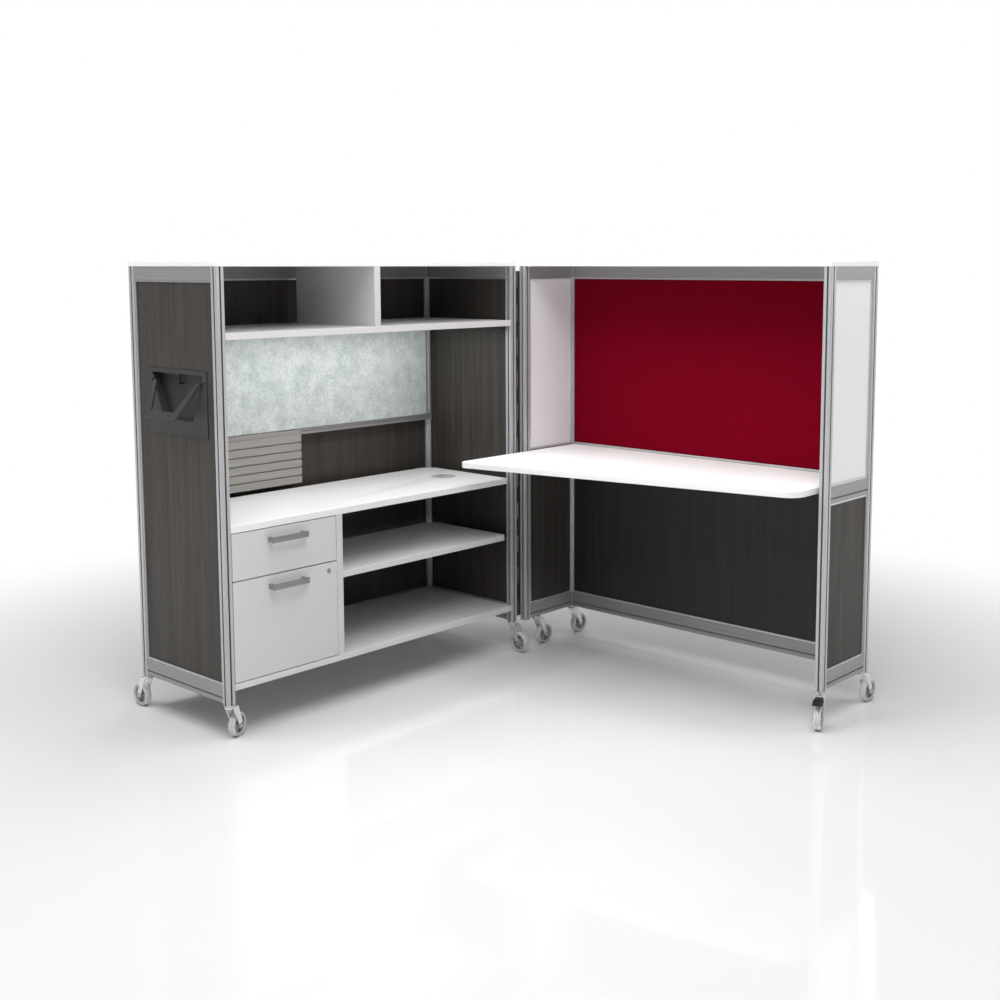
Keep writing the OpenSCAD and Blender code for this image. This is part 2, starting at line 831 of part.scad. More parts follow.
module bail_outline() {
    top = bail_w / 2;
    low = grip_w / 2;
    z_grip = -bail_l + grip_h / 2;
    polygon([
        [-top, bail_head], [-top + arm_w, bail_head], [-low + arm_w, z_grip], [low - arm_w, z_grip],
        [top - arm_w, bail_head], [top, bail_head], [top, -arm_w / 2], [low + arm_w / 4, z_grip - grip_h],
        [-low - arm_w / 4, z_grip - grip_h], [-top, -arm_w / 2]]);
}

module bail_handle() {
    color(dark) storage_mirror() translate([bail_axis_x, pan_mid, bail_z]) rotate([0, -bail_out, 0]) union() {
        translate([-bail_t / 2, 0, 0]) rotate([90, 0, 90]) linear_extrude(bail_t) bail_outline();
        for (side = [-1, 1]) translate([0, side * (bail_w / 2 - arm_w / 2), 0]) rotate([-side * 90, 0, 0])
            cylinder(r = bail_pin_r, h = arm_w / 2 + ear_gap + ear_w, $fn = fine);
    }
}

// Continuous hinge: leaves on the side faces of the two hinge posts, knuckles by turns, one pin
hinge_l = post_h - 2 * hinge_end;
knuckle_l = hinge_l / knuckles;
leaf_w = post - pin_in;

// One leaf about its pin at x = 0, y = 0: the plate lies from plate_x, leaving the other leaf's knuckles free
module leaf(first, plate_x, reach) {
    clear_y = knuckle_r + ear_gap;
    translate([0, 0, hinge_end]) difference() {
        union() {
            block([plate_x, clear_y, 0], [plate_x + leaf_t, reach, hinge_l]);
            for (i = [first : 2 : knuckles - 1]) translate([0, 0, i * knuckle_l + gap / 2]) {
                cylinder(r = knuckle_r, h = knuckle_l - gap, $fn = fine);
                block([plate_x, 0, 0], [plate_x + leaf_t, clear_y + over, knuckle_l - gap]);
            }
        }
        translate([0, 0, -over]) cylinder(r = pin_r + run, h = hinge_l + 2 * over, $fn = fine);
    }
}

module storage_hinge_leaf() {
    color(black) storage_place() translate([storage_pin[0], storage_pin[1], 0])
        leaf(0, -pin_out, leaf_w);
}

module desk_hinge_leaf() {
    color(black) desk_place() translate([desk_pin[0], desk_pin[1], 0])
        mirror([1, 0, 0]) leaf(1, -pin_out + gap, post - desk_pin[1] - pin_in);
}

module hinge_pin() {
    color(zinc) storage_place() translate([storage_pin[0], storage_pin[1], hinge_end])
        cylinder(r = pin_r, h = hinge_l, $fn = fine);
}

// Desk half
module desk_posts() {
    color(alu) desk_place() posts(desk_d);
}

module desk_rails() {
    color(alu) desk_place() difference() {
        three_walls(desk_d) {
            wall_rails(post_in - post, [mid_rail_z]);
            wall_rails(desk_d - 2 * post, [mid_rail_z]);
        }
        translate([post / 2, post / 2 + caster_inset, 0]) cylinder(r = core_r, h = stem_l + over, $fn = fine);
    }
}

// Upper and lower openings of the desk half's walls
function desk_bands() = [[low_rail_top, mid_rail_z], [mid_rail_top, top_rail_low]];

module desk_beads() {
    side_l = desk_d - 2 * post;
    color(bright) desk_place() for (band = desk_bands()) {
        translate([post, desk_d - post / 2, 0]) beads(post_in - post, band[0], band[1], desk_panel_t, 1);
        translate([post / 2, post, 0]) rotate([0, 0, 90]) beads(side_l, band[0], band[1], desk_panel_t, 1);
        translate([half_w - post / 2, post, 0]) rotate([0, 0, 90])
            beads(side_l, band[0], band[1], desk_panel_t, -1);
    }
}

module desk_sides(band) {
    side_l = desk_d - 2 * post;
    translate([post / 2, post, 0]) rotate([0, 0, 90]) wall_panel(side_l, band[0], band[1], desk_panel_t, 1);
    translate([half_w - post / 2, post, 0]) rotate([0, 0, 90])
        wall_panel(side_l, band[0], band[1], desk_panel_t, -1);
}

module desk_side_panels() {
    color(white) desk_place() desk_sides(desk_bands()[1]);
}

module desk_lower_panels() {
    color(wood) desk_place() desk_sides(desk_bands()[0]);
}

module desk_back_panel() {
    color(black) desk_place() translate([post, desk_d - post / 2, 0])
        wall_panel(post_in - post, low_rail_top, mid_rail_z, desk_panel_t, 1);
}

// Fabric panel: the board that fills the upper back opening, with its padded face between the beads
module tack_panel() {
    pad = tack_t - desk_panel_t;
    y_face = desk_d - panel_back - desk_panel_t;
    color([0.45, 0.01, 0.09]) desk_place() union() {
        translate([post, desk_d - post / 2, 0])
            wall_panel(post_in - post, mid_rail_top, top_rail_low, desk_panel_t, 1);
        block([post + bead_w, y_face - pad, mid_rail_top + bead_w],
              [post_in - bead_w, y_face, top_rail_low - bead_w]);
    }
}

// Desk top: straight ends, a slanting front edge and round front corners, each corner from tangent arcs
desk_back = desk_d - post + rail_back;
slope = (desk_out_far - desk_out) / (half_w - desk_end - desk_far_r / 2 - desk_end);
slope_turn = atan(-slope);
desk_right = half_w - desk_end - rail_back;

function front_y(x) = -desk_out - slope * (x - desk_end);

module desk_outline() {
    near = [desk_end + desk_r, front_y(desk_end + desk_r) + desk_r / cos(slope_turn)];
    far = [desk_right - desk_far_r, front_y(desk_right - desk_far_r) + desk_far_r / cos(slope_turn)];
    foot = [sin(slope_turn), -cos(slope_turn)];
    polygon([
        [desk_end, desk_back], [desk_end, near[1]], near, near + desk_r * foot,
        far + desk_far_r * foot, far, [desk_right, far[1]], [desk_right, desk_back]]);
    translate(near) circle(r = desk_r, $fn = 2 * fine);
    translate(far) circle(r = desk_far_r, $fn = 2 * fine);
}

module desk_worksurface() {
    color(white) desk_place() translate([0, 0, desk_z - board_t]) linear_extrude(board_t) desk_outline();
}

// Brackets below the desk top: an angle along each side rail and two tapering cantilevers from the back rail
arm_t = 20;
cantilever_near_share = 0.12;
cantilever_far_share = 0.72;
tip_h = 10;

module desk_angle() {
    z = desk_z - board_t;
    block([0, post, z - bracket_h], [bracket_t, desk_back - post, z]);
    block([0, post, z - bracket_t], [desk_end + cleat_reach - rail_t, desk_back - post, z]);
}

module cantilever(x, reach) {
    z = desk_z - board_t;
    translate([x, 0, 0]) rotate([90, 0, 90]) linear_extrude(arm_t)
        polygon([[desk_back, z], [desk_back, z - bracket_h], [-reach, z - tip_h], [-reach, z]]);
}

module desk_brackets() {
    color(dark) desk_place() {
        translate([post - rail_back, 0, 0]) union() desk_angle();
        translate([post_in + rail_back, 0, 0]) mirror([1, 0, 0]) union() desk_angle();
        cantilever(half_w * cantilever_near_share, desk_out - 2 * back_r);
        cantilever(half_w * cantilever_far_share, desk_out_far - back_r);
    }
}

module desk_top_panel() {
    color(white) desk_place() block([0, 0, post_h], [half_w, desk_d, post_h + top_t]);
}

// Casters: the fixed stem with its top race and king pin, the fork, and the wheel
race_r = 16;
race_t = 6;
king_r = 4;
nut_r = 7;
nut_h = 4;
stem_r = 5;
stem_l = 34;
crown_t = 5;
plate_t = 4;
boss = 9;
crown_z = -race_t - gap - crown_t;
king_l = -crown_z + gap + nut_h;

module stem(lift) {
    translate([0, 0, -race_t]) cylinder(r = race_r, h = race_t + lift, $fn = fine);
    cylinder(r = stem_r, h = stem_l, $fn = fine);
    translate([0, 0, -king_l]) cylinder(r = king_r, h = king_l, $fn = fine);
    translate([0, 0, -king_l]) cylinder(r = nut_r, h = nut_h, $fn = fine);
}

// The fork heads along +x; its legs slope from the crown down to the axle
head_share = 1.4;
head_t = 2;
leg_low_share = 0.45;
leg_side_share = 0.9;
leg_front = 15;

module fork_leg() {
    a = [trail, axle_z];
    side = [boss * leg_side_share, boss * leg_low_share];
    top = crown_z + plate_t;
    rotate([90, 0, 0]) linear_extrude(leg_t) {
        polygon([[0, top], [leg_front, top], [leg_front, crown_z], a + side, a - side, [0, crown_z]]);
        translate(a) circle(r = boss, $fn = fine);
    }
}

module fork(braked = false) {
    difference() {
        union() {
            translate([0, 0, crown_z]) cylinder(r = race_r + over, h = crown_t, $fn = fine);
            block([0, -fork_half, crown_z], [leg_front, fork_half, crown_z + plate_t]);
            translate([0, -fork_in, 0]) fork_leg();
            translate([0, fork_half, 0]) fork_leg();
            if (braked) for (y = [-fork_in, fork_half]) translate([pedal_x, y, pedal_z]) rotate([90, 0, 0])
                cylinder(r = pedal_ear, h = leg_t, $fn = fine);
            if (braked) translate([pedal_x, fork_half, pedal_z]) rotate([90, 0, 0])
                cylinder(r = pedal_pin_r, h = 2 * fork_half, $fn = fine);
        }
        translate([0, 0, -king_l]) cylinder(r = king_r + run, h = king_l, $fn = fine);
    }
    translate([trail, fork_half, axle_z]) rotate([90, 0, 0])
        cylinder(r = axle_r, h = 2 * fork_half, $fn = fine);
    for (y = [-fork_half, fork_half + head_t]) translate([trail, y, axle_z]) rotate([90, 0, 0])
        cylinder(r = axle_r * head_share, h = head_t, $fn = 6);
}

// Wheel: a tyre with a rounded tread on a hub pierced between its spokes
hub_r_share = 0.72;
hub_w_share = 0.8;
spokes = 6;
hole_at_share = 0.63;
hole_r_share = 0.22;
tread_r = 6;

module wheel() {
    hub_r = wheel_r * hub_r_share;
    hub_w = wheel_w * hub_w_share;
    rotate([90, 0, 0]) {
        rotate_extrude($fn = fine) {
            difference() {
                translate([hub_r, -wheel_w / 2]) square([wheel_r - hub_r, wheel_w]);
                for (side = [-1, 1])
                    translate([wheel_r - tread_r, side * (wheel_w / 2 - tread_r)]) difference() {
                        translate([0, side > 0 ? 0 : -tread_r - over]) square([tread_r + over, tread_r + over]);
                        circle(r = tread_r, $fn = fine);
                    }
            }
        }
        difference() {
            translate([0, 0, -hub_w / 2]) cylinder(r = hub_r, h = hub_w, $fn = fine);
            translate([0, 0, -wheel_w]) cylinder(r = axle_r + run, h = 2 * wheel_w, $fn = fine);
            for (i = [0 : spokes - 1]) rotate(i * 360 / spokes)
                translate([hub_r * hole_at_share, 0, -wheel_w])
                    cylinder(r = hub_r * hole_r_share, h = 2 * wheel_w, $fn = fine);
        }
    }
}

// Places and headings of the casters in their own half's frame, storage half first
storage_far = half_w - post / 2;
storage_rear = storage_d - post / 2;
desk_rear = desk_d - post / 2;
mid_post = post / 2;
storage_front_at = [-storage_far, mid_post, front_turn - 90];
storage_hinge_at = [-mid_post, mid_post, -90];
storage_back_at = [-storage_far, storage_rear, 90];
storage_back_hinge_at = [-mid_post, storage_rear, 90];
desk_front_at = [storage_far, mid_post, brake_turn];
desk_hinge_at = [mid_post, mid_post + caster_inset, 90];
desk_back_at = [storage_far, desk_rear, 90];
desk_back_hinge_at = [mid_post, desk_rear, 90];

module at(place) {
    translate([place[0], place[1], 0]) rotate([0, 0, place[2]]) children();
}

module storage_caster_stems() {
    color(zinc) storage_place()
        for (p = [storage_front_at, storage_hinge_at, storage_back_at, storage_back_hinge_at])
            at(p) union() stem(0);
}

module desk_caster_stems() {
    color(zinc) desk_place() {
        for (p = [desk_front_at, desk_back_at, desk_back_hinge_at]) at(p) union() stem(0);
        at(desk_hinge_at) union() stem(low_rail_z);
    }
}

module fork_storage_front() {
    color(zinc) storage_place() at(storage_front_at) fork();
}

module fork_storage_hinge() {
    color(zinc) storage_place() at(storage_hinge_at) fork();
}

module fork_storage_back() {
    color(zinc) storage_place() at(storage_back_at) fork();
}

module fork_storage_back_hinge() {
    color(zinc) storage_place() at(storage_back_hinge_at) fork();
}

module fork_desk_front() {
    color(zinc) desk_place() at(desk_front_at) fork(true);
}

module fork_desk_hinge() {
    color(zinc) desk_place() at(desk_hinge_at) fork();
}

module fork_desk_back() {
    color(zinc) desk_place() at(desk_back_at) fork();
}

module fork_desk_back_hinge() {
    color(zinc) desk_place() at(desk_back_hinge_at) fork();
}

module wheel_at(place) {
    color(clear_grey) at(place) translate([trail, 0, axle_z]) wheel();
}

module wheel_storage_front() {
    storage_place() wheel_at(storage_front_at);
}

module wheel_storage_hinge() {
    storage_place() wheel_at(storage_hinge_at);
}

module wheel_storage_back() {
    storage_place() wheel_at(storage_back_at);
}

module wheel_storage_back_hinge() {
    storage_place() wheel_at(storage_back_hinge_at);
}

module wheel_desk_front() {
    desk_place() wheel_at(desk_front_at);
}

module wheel_desk_hinge() {
    desk_place() wheel_at(desk_hinge_at);
}

module wheel_desk_back() {
    desk_place() wheel_at(desk_back_at);
}

module wheel_desk_back_hinge() {
    desk_place() wheel_at(desk_back_hinge_at);
}

// Brake pedal between the fork's ears: a barrel on the cross pin, a web and a wide tread plate
pedal_x = 22;
pedal_z = -19;
pedal_ear = 5;
pedal_pin_r = 2.5;
pedal_t = 3;
pedal_drop = 7;
shoe_near = 10;
shoe_far = 19;
shoe_w = 20;
shoe_gap = 3.4;

module brake_pedal() {
    half_in = fork_in - 2 * gap;
    shoe_low = axle_z + wheel_r + shoe_gap - pedal_z;
    color(black) desk_place() at(desk_front_at) difference() {
        union() {
            translate([pedal_x, half_in, pedal_z]) rotate([90, 0, 0])
                cylinder(r = pedal_ear - over, h = 2 * half_in, $fn = fine);
            translate([pedal_x, half_in, pedal_z]) rotate([90, 0, 0]) linear_extrude(2 * half_in)
                polygon([[0, pedal_t], [0, 0], [pedal_reach / 3, 0], [pedal_reach / 3, pedal_t]]);
            translate([pedal_x, shoe_w / 2, pedal_z]) rotate([90, 0, 0]) linear_extrude(shoe_w)
                polygon([
                    [shoe_near, pedal_t], [shoe_near, shoe_low], [shoe_far, shoe_low], [shoe_far, pedal_t]]);
            translate([pedal_x, pedal_w / 2, pedal_z]) rotate([90, 0, 0]) linear_extrude(pedal_w)
                polygon([[pedal_reach / 4, pedal_t], [pedal_reach / 4, 0],
                         [pedal_reach - pedal_x, -pedal_drop], [pedal_reach - pedal_x, pedal_t - pedal_drop]]);
        }
        translate([pedal_x, fork_half, pedal_z]) rotate([90, 0, 0])
            cylinder(r = pedal_pin_r + run, h = 2 * fork_half, $fn = fine);
    }
}

storage_posts();
storage_rails();
storage_beads();
storage_wall_panels();
storage_top_panel();
storage_shelves();
upper_divider();
display_board();
tool_rail();
slat_panel();
storage_worksurface();
storage_brackets();
grommet_ring();
grommet_cap();
pedestal_panels();
runner_cabinet_members();
box_runner_middles();
file_runner_middles();
box_drawer_tray();
box_drawer_front();
box_drawer_pull();
file_drawer_tray();
file_drawer_front();
file_drawer_pull();
lock_plug();
handle_pan();
bail_handle();
handle_latch();
storage_hinge_leaf();
hinge_pin();
storage_caster_stems();
desk_posts();
desk_rails();
desk_beads();
desk_side_panels();
desk_lower_panels();
tack_panel();
desk_back_panel();
desk_worksurface();
desk_brackets();
desk_top_panel();
desk_hinge_leaf();
desk_caster_stems();
fork_storage_front();
fork_storage_hinge();
fork_storage_back();
fork_storage_back_hinge();
fork_desk_front();
fork_desk_hinge();
fork_desk_back();
fork_desk_back_hinge();
wheel_storage_front();
wheel_storage_hinge();
wheel_storage_back();
wheel_storage_back_hinge();
wheel_desk_front();
wheel_desk_hinge();
wheel_desk_back();
wheel_desk_back_hinge();
brake_pedal();
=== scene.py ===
import bmesh
import bpy
import json
import math
import numpy as np
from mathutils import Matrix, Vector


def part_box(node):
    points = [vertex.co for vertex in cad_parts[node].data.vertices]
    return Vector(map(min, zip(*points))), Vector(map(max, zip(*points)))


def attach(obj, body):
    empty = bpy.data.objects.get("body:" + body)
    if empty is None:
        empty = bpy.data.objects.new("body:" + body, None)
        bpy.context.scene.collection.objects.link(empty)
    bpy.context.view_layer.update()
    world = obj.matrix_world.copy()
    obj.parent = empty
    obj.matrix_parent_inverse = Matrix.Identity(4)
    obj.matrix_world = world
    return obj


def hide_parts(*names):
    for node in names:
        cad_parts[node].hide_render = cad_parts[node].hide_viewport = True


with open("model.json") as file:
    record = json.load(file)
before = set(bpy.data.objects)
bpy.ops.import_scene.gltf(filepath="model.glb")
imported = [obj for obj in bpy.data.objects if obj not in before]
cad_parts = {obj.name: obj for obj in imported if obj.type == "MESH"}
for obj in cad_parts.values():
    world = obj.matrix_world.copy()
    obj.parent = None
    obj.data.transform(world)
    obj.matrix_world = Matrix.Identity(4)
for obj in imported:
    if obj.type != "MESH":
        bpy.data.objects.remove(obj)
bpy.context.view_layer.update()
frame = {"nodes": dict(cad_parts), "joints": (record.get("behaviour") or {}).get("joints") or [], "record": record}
print("frame loaded:", len(frame["nodes"]), "nodes")

# camera at the photograph's viewing angle, in metres and degrees
camera = {"place": (2.9017, -3.051, 1.457), "yaw": 41.31, "pitch": -6.41, "lens": 46.82, "sensor": 36,
          "shift": (-0.0531, -0.0884), "farClip": 100}


# a camera looks down its own -z, so it is tipped up by a quarter turn plus its pitch, then turned by its yaw
def addCamera(c):
    data = bpy.data.cameras.new("photoCamera")
    data.sensor_width, data.lens = c["sensor"], c["lens"]
    data.shift_x, data.shift_y = c["shift"]
    data.clip_end = c["farClip"]
    obj = bpy.data.objects.new("photoCamera", data)
    obj.location = c["place"]
    obj.rotation_euler = (math.radians(90 + c["pitch"]), 0, math.radians(c["yaw"]))
    bpy.context.scene.collection.objects.link(obj)
    bpy.context.scene.camera = obj


addCamera(camera)
bpy.context.scene.view_settings.view_transform = "Standard"

# studio: soft boxes, a white room for reflections and a pale glossy floor, in metres and watts
studio = {"worldLevel": 0.13, "floorTone": 0.74, "floorRough": 0.06, "fadeFrom": 1.3, "fadeTo": 3.2,
          "floorRadius": 14.0, "rings": 24, "spokes": 96, "ringCrowd": 1.5}
softBoxes = {
    # hidden from reflections, or it would show as a bright patch in the floor
    "overhead": {"place": (0.2, -0.7, 4.3), "aim": (0.1, -0.1, 0.6), "size": (4.4, 4.4), "watts": 236,
                 "mirrored": False},
    "left": {"place": (-2.0, -3.0, 3.6), "aim": (0.0, 0.0, 0.6), "size": (2.2, 2.0), "watts": 47},
    "front": {"place": (2.3, -1.5, 3.5), "aim": (-0.3, 0.2, 0.7), "size": (1.6, 1.6), "watts": 32},
    "right": {"place": (2.8, 2.8, 2.3), "aim": (0.9, 0.8, 0.9), "size": (2.0, 1.8), "watts": 31},
    "behind": {"place": (-2.0, 3.4, 3.6), "aim": (0.0, 0.0, 0.8), "size": (3.0, 2.0), "watts": 36},
    "shelfLamp": {"place": (-0.62, -0.2, 1.225), "aim": (-0.63, -0.2, 0.6), "size": (1.1, 0.06), "watts": 2.3},
}


# an area lamp shines down its own -z: its tilt and turn are the angles of the line from its place to its aim
def addSoftBox(name, b):
    data = bpy.data.lights.new(name, "AREA")
    data.shape, data.energy = "RECTANGLE", b["watts"]
    data.size, data.size_y = b["size"]
    obj = bpy.data.objects.new(name, data)
    obj.location = b["place"]
    aim = np.array(b["aim"]) - np.array(b["place"])
    flat = math.hypot(aim[0], aim[1])
    obj.rotation_euler = (math.atan2(flat, -aim[2]), 0, math.atan2(aim[1], aim[0]) - math.pi / 2)
    obj.visible_glossy = b.get("mirrored", True)
    bpy.context.scene.collection.objects.link(obj)


for lampName, lamp in softBoxes.items():
    addSoftBox(lampName, lamp)


# node helpers: n makes a node and sets its plain values, wire joins two sockets
def n(tree, kind, **values):
    node = tree.nodes.new("ShaderNode" + kind)
    for key, value in values.items():
        if hasattr(node, key):
            setattr(node, key, value)
        else:
            node.inputs[key.replace("_", " ")].default_value = value
    return node


def wire(tree, a, b):
    tree.links.new(a, b)


# the background is white where the camera sees it straight or through a clear piece, and dim as a light
def whiteRoom(level):
    world = bpy.data.worlds.new("whiteRoom")
    bpy.context.scene.world = world
    world.use_nodes = True
    t = world.node_tree
    t.nodes.clear()
    out = n(t, "OutputWorld")
    seen = n(t, "Background", Strength=1.0, Color=(1, 1, 1, 1))
    lit = n(t, "Background", Strength=level, Color=(1, 1, 1, 1))
    path = n(t, "LightPath")
    anyDirect = n(t, "Math", operation="MAXIMUM")
    wire(t, path.outputs["Is Camera Ray"], anyDirect.inputs[0])
    wire(t, path.outputs["Is Transmission Ray"], anyDirect.inputs[1])
    mix = n(t, "MixShader")
    wire(t, anyDirect.outputs[0], mix.inputs[0])
    wire(t, lit.outputs[0], mix.inputs[1])
    wire(t, seen.outputs[0], mix.inputs[2])
    wire(t, mix.outputs[0], out.inputs["Surface"])


whiteRoom(studio["worldLevel"])


# a node group with its own sockets, given as (label, kind, value) and (label, kind)
def newGroup(name, inputs, outputs):
    g = bpy.data.node_groups.new(name, "ShaderNodeTree")
    for label, kind, value in inputs:
        s = g.interface.new_socket(label, in_out="INPUT", socket_type="NodeSocket" + kind)
        if value is not None:
            s.default_value = value
    for label, kind in outputs:
        g.interface.new_socket(label, in_out="OUTPUT", socket_type="NodeSocket" + kind)
    return g, g.nodes.new("NodeGroupInput"), g.nodes.new("NodeGroupOutput")


# stretched noise: object coordinates times a stretch, then noise, for grain and brushing
def makeStreaks():
    g, i, o = newGroup("streaks", [("Stretch", "Vector", (60, 60, 2)), ("Detail", "Float", 6.0)],
                       [("Fac", "Float"), ("Fine", "Float")])
    coord = n(g, "TexCoord")
    times = n(g, "VectorMath", operation="MULTIPLY")
    wire(g, coord.outputs["Object"], times.inputs[0])
    wire(g, i.outputs["Stretch"], times.inputs[1])
    broad = n(g, "TexNoise", Scale=1.0, Roughness=0.6, Distortion=0.35)
    fine = n(g, "TexNoise", Scale=5.0, Roughness=0.7)
    for tex in (broad, fine):
        wire(g, times.outputs[0], tex.inputs["Vector"])
        wire(g, i.outputs["Detail"], tex.inputs["Detail"])
    wire(g, broad.outputs["Fac"], o.inputs["Fac"])
    wire(g, fine.outputs["Fac"], o.inputs["Fine"])
    return g


# even speckle at a given size in metres, for laminate, cast plastic and mottled boards
def makeSpeckle():
    g, i, o = newGroup("speckle", [("Size", "Float", 0.004)], [("Fac", "Float"), ("Cells", "Float")])
    coord = n(g, "TexCoord")
    per = n(g, "Math", operation="DIVIDE")
    per.inputs[0].default_value = 1.0
    wire(g, i.outputs["Size"], per.inputs[1])
    noise = n(g, "TexNoise", Detail=4.0, Roughness=0.55)
    cells = n(g, "TexVoronoi")
    for tex in (noise, cells):
        wire(g, coord.outputs["Object"], tex.inputs["Vector"])
        wire(g, per.outputs[0], tex.inputs["Scale"])
    wire(g, noise.outputs["Fac"], o.inputs["Fac"])
    wire(g, cells.outputs["Distance"], o.inputs["Cells"])
    return g


# plain weave: two crossed waves in the panel's plane, over-and-under by a checker of their product
def makeWeave():
    g, i, o = newGroup("weave", [("Pitch", "Float", 0.0016)], [("Height", "Float"), ("Fac", "Float")])
    coord = n(g, "TexCoord")
    parts = n(g, "SeparateXYZ")
    wire(g, coord.outputs["Object"], parts.inputs[0])
    turn = n(g, "Math", operation="DIVIDE")
    turn.inputs[0].default_value = math.pi
    wire(g, i.outputs["Pitch"], turn.inputs[1])
    waves = []
    for axis in ("X", "Z"):
        angle = n(g, "Math", operation="MULTIPLY")
        wire(g, parts.outputs[axis], angle.inputs[0])
        wire(g, turn.outputs[0], angle.inputs[1])
        sine = n(g, "Math", operation="SINE")
        wire(g, angle.outputs[0], sine.inputs[0])
        waves.append(sine)
    product = n(g, "Math", operation="MULTIPLY")
    wire(g, waves[0].outputs[0], product.inputs[0])
    wire(g, waves[1].outputs[0], product.inputs[1])
    over = n(g, "MapRange", From_Min=-1.0, From_Max=1.0)
    wire(g, product.outputs[0], over.inputs["Value"])
    wire(g, over.outputs[0], o.inputs["Height"])
    slub = n(g, "TexNoise", Scale=220.0, Detail=3.0)
    wire(g, coord.outputs["Object"], slub.inputs["Vector"])
    wire(g, slub.outputs["Fac"], o.inputs["Fac"])
    return g


streaks, speckle, weave = makeStreaks(), makeSpeckle(), makeWeave()


# a material with its output and one Principled shader; plain values go on the shader's own sockets
def newMaterial(name, **values):
    m = bpy.data.materials.new(name)
    m.use_nodes = True
    t = m.node_tree
    shader = t.nodes["Principled BSDF"]
    for key, value in values.items():
        shader.inputs[key.replace("_", " ")].default_value = value
    return m, t, shader


# a display tone from 0 to 255 as linear light, by the sRGB curve
def tone(r, g, b):
    def linear(v):
        v /= 255
        return v / 12.92 if v <= 0.04045 else ((v + 0.055) / 1.055) ** 2.4
    return (linear(r), linear(g), linear(b), 1)


# a node group set down in a material, with its plain inputs
def placeGroup(t, group, **values):
    node = t.nodes.new("ShaderNodeGroup")
    node.node_tree = group
    for key, value in values.items():
        node.inputs[key].default_value = value
    return node


# colour between two tones by a mask, squeezed into a range; sockets 6, 7 and 2 are the Mix node's colours
def colourBetween(t, mask, shader, dark, light, low=0.3, high=0.7):
    squeeze = n(t, "MapRange", From_Min=low, From_Max=high)
    wire(t, mask, squeeze.inputs["Value"])
    mix = n(t, "Mix", data_type="RGBA")
    mix.inputs[6].default_value = dark
    mix.inputs[7].default_value = light
    wire(t, squeeze.outputs[0], mix.inputs[0])
    wire(t, mix.outputs[2], shader.inputs["Base Color"])


# roughness between two values by a mask
def roughBetween(t, mask, shader, low, high):
    spread = n(t, "MapRange", To_Min=low, To_Max=high)
    wire(t, mask, spread.inputs["Value"])
    wire(t, spread.outputs[0], shader.inputs["Roughness"])


# relief from a height, over edges softened by a small radius
def relief(t, height, shader, strength, depth, edge=0.0006):
    bump = n(t, "Bump", Strength=strength, Distance=depth)
    wire(t, height, bump.inputs["Height"])
    if edge:
        soft = n(t, "Bevel", samples=4, Radius=edge)
        wire(t, soft.outputs[0], bump.inputs["Normal"])
    wire(t, bump.outputs[0], shader.inputs["Normal"])


# brushed metal: broad streaks set the tone, fine ones the roughness and the relief
def brushedMetal(name, dark, light, stretch, rough=(0.3, 0.42), metallic=0.75, edge=0.0006):
    m, t, shader = newMaterial(name, Metallic=metallic)
    s = placeGroup(t, streaks, Stretch=stretch)
    colourBetween(t, s.outputs["Fac"], shader, dark, light)
    roughBetween(t, s.outputs["Fine"], shader, *rough)
    relief(t, s.outputs["Fine"], shader, 0.12, 0.0002, edge)
    return m


# laminate: one even speckle sets tone, roughness and relief under a thin coat
def laminate(name, dark, light, rough=(0.28, 0.4), size=0.0025, edge=0.0008, coat=0.15):
    m, t, shader = newMaterial(name, Coat_Weight=coat, Coat_Roughness=0.2)
    s = placeGroup(t, speckle, Size=size)
    colourBetween(t, s.outputs["Fac"], shader, dark, light)
    roughBetween(t, s.outputs["Fac"], shader, *rough)
    relief(t, s.outputs["Fac"], shader, 0.05, 0.0002, edge)
    return m


# wood laminate: long upright streaks, broad for the tone and fine for roughness and pores
def woodLaminate(name, dark, light, rough=(0.42, 0.6)):
    m, t, shader = newMaterial(name)
    s = placeGroup(t, streaks, Stretch=(46, 46, 1.6), Detail=8.0)
    colourBetween(t, s.outputs["Fac"], shader, dark, light, 0.34, 0.66)
    roughBetween(t, s.outputs["Fine"], shader, *rough)
    relief(t, s.outputs["Fine"], shader, 0.25, 0.0003, 0)
    return m


# mottled board: the mean of a cloudy and a fine speckle, squeezed into two near tones
def mottledBoard(name):
    m, t, shader = newMaterial(name, Specular_IOR_Level=0.3)
    cloudy, fine = placeGroup(t, speckle, Size=0.045), placeGroup(t, speckle, Size=0.009)
    both = n(t, "Math", operation="ADD")
    for k, s in enumerate((cloudy, fine)):
        wire(t, s.outputs["Fac"], both.inputs[k])
    half = n(t, "Math", operation="MULTIPLY")
    half.inputs[1].default_value = 0.5
    wire(t, both.outputs[0], half.inputs[0])
    colourBetween(t, half.outputs[0], shader, tone(178, 187, 187), tone(212, 219, 218), 0.38, 0.62)
    roughBetween(t, fine.outputs["Cells"], shader, 0.5, 0.7)
    relief(t, half.outputs[0], shader, 0.15, 0.0005, 0.0005)
    return m


# cloth: slubs set tone and roughness, the weave sets the relief
def redCloth(name):
    m, t, shader = newMaterial(name, Sheen_Weight=0.05, Sheen_Roughness=0.4, Sheen_Tint=(0.5, 0.01, 0.05, 1),
                                Specular_IOR_Level=0.04)
    s = placeGroup(t, weave, Pitch=0.0022)
    colourBetween(t, s.outputs["Fac"], shader, tone(104, 0, 20), tone(128, 2, 28))
    roughBetween(t, s.outputs["Fac"], shader, 0.8, 0.95)
    relief(t, s.outputs["Height"], shader, 0.5, 0.0006, 0)
    return m


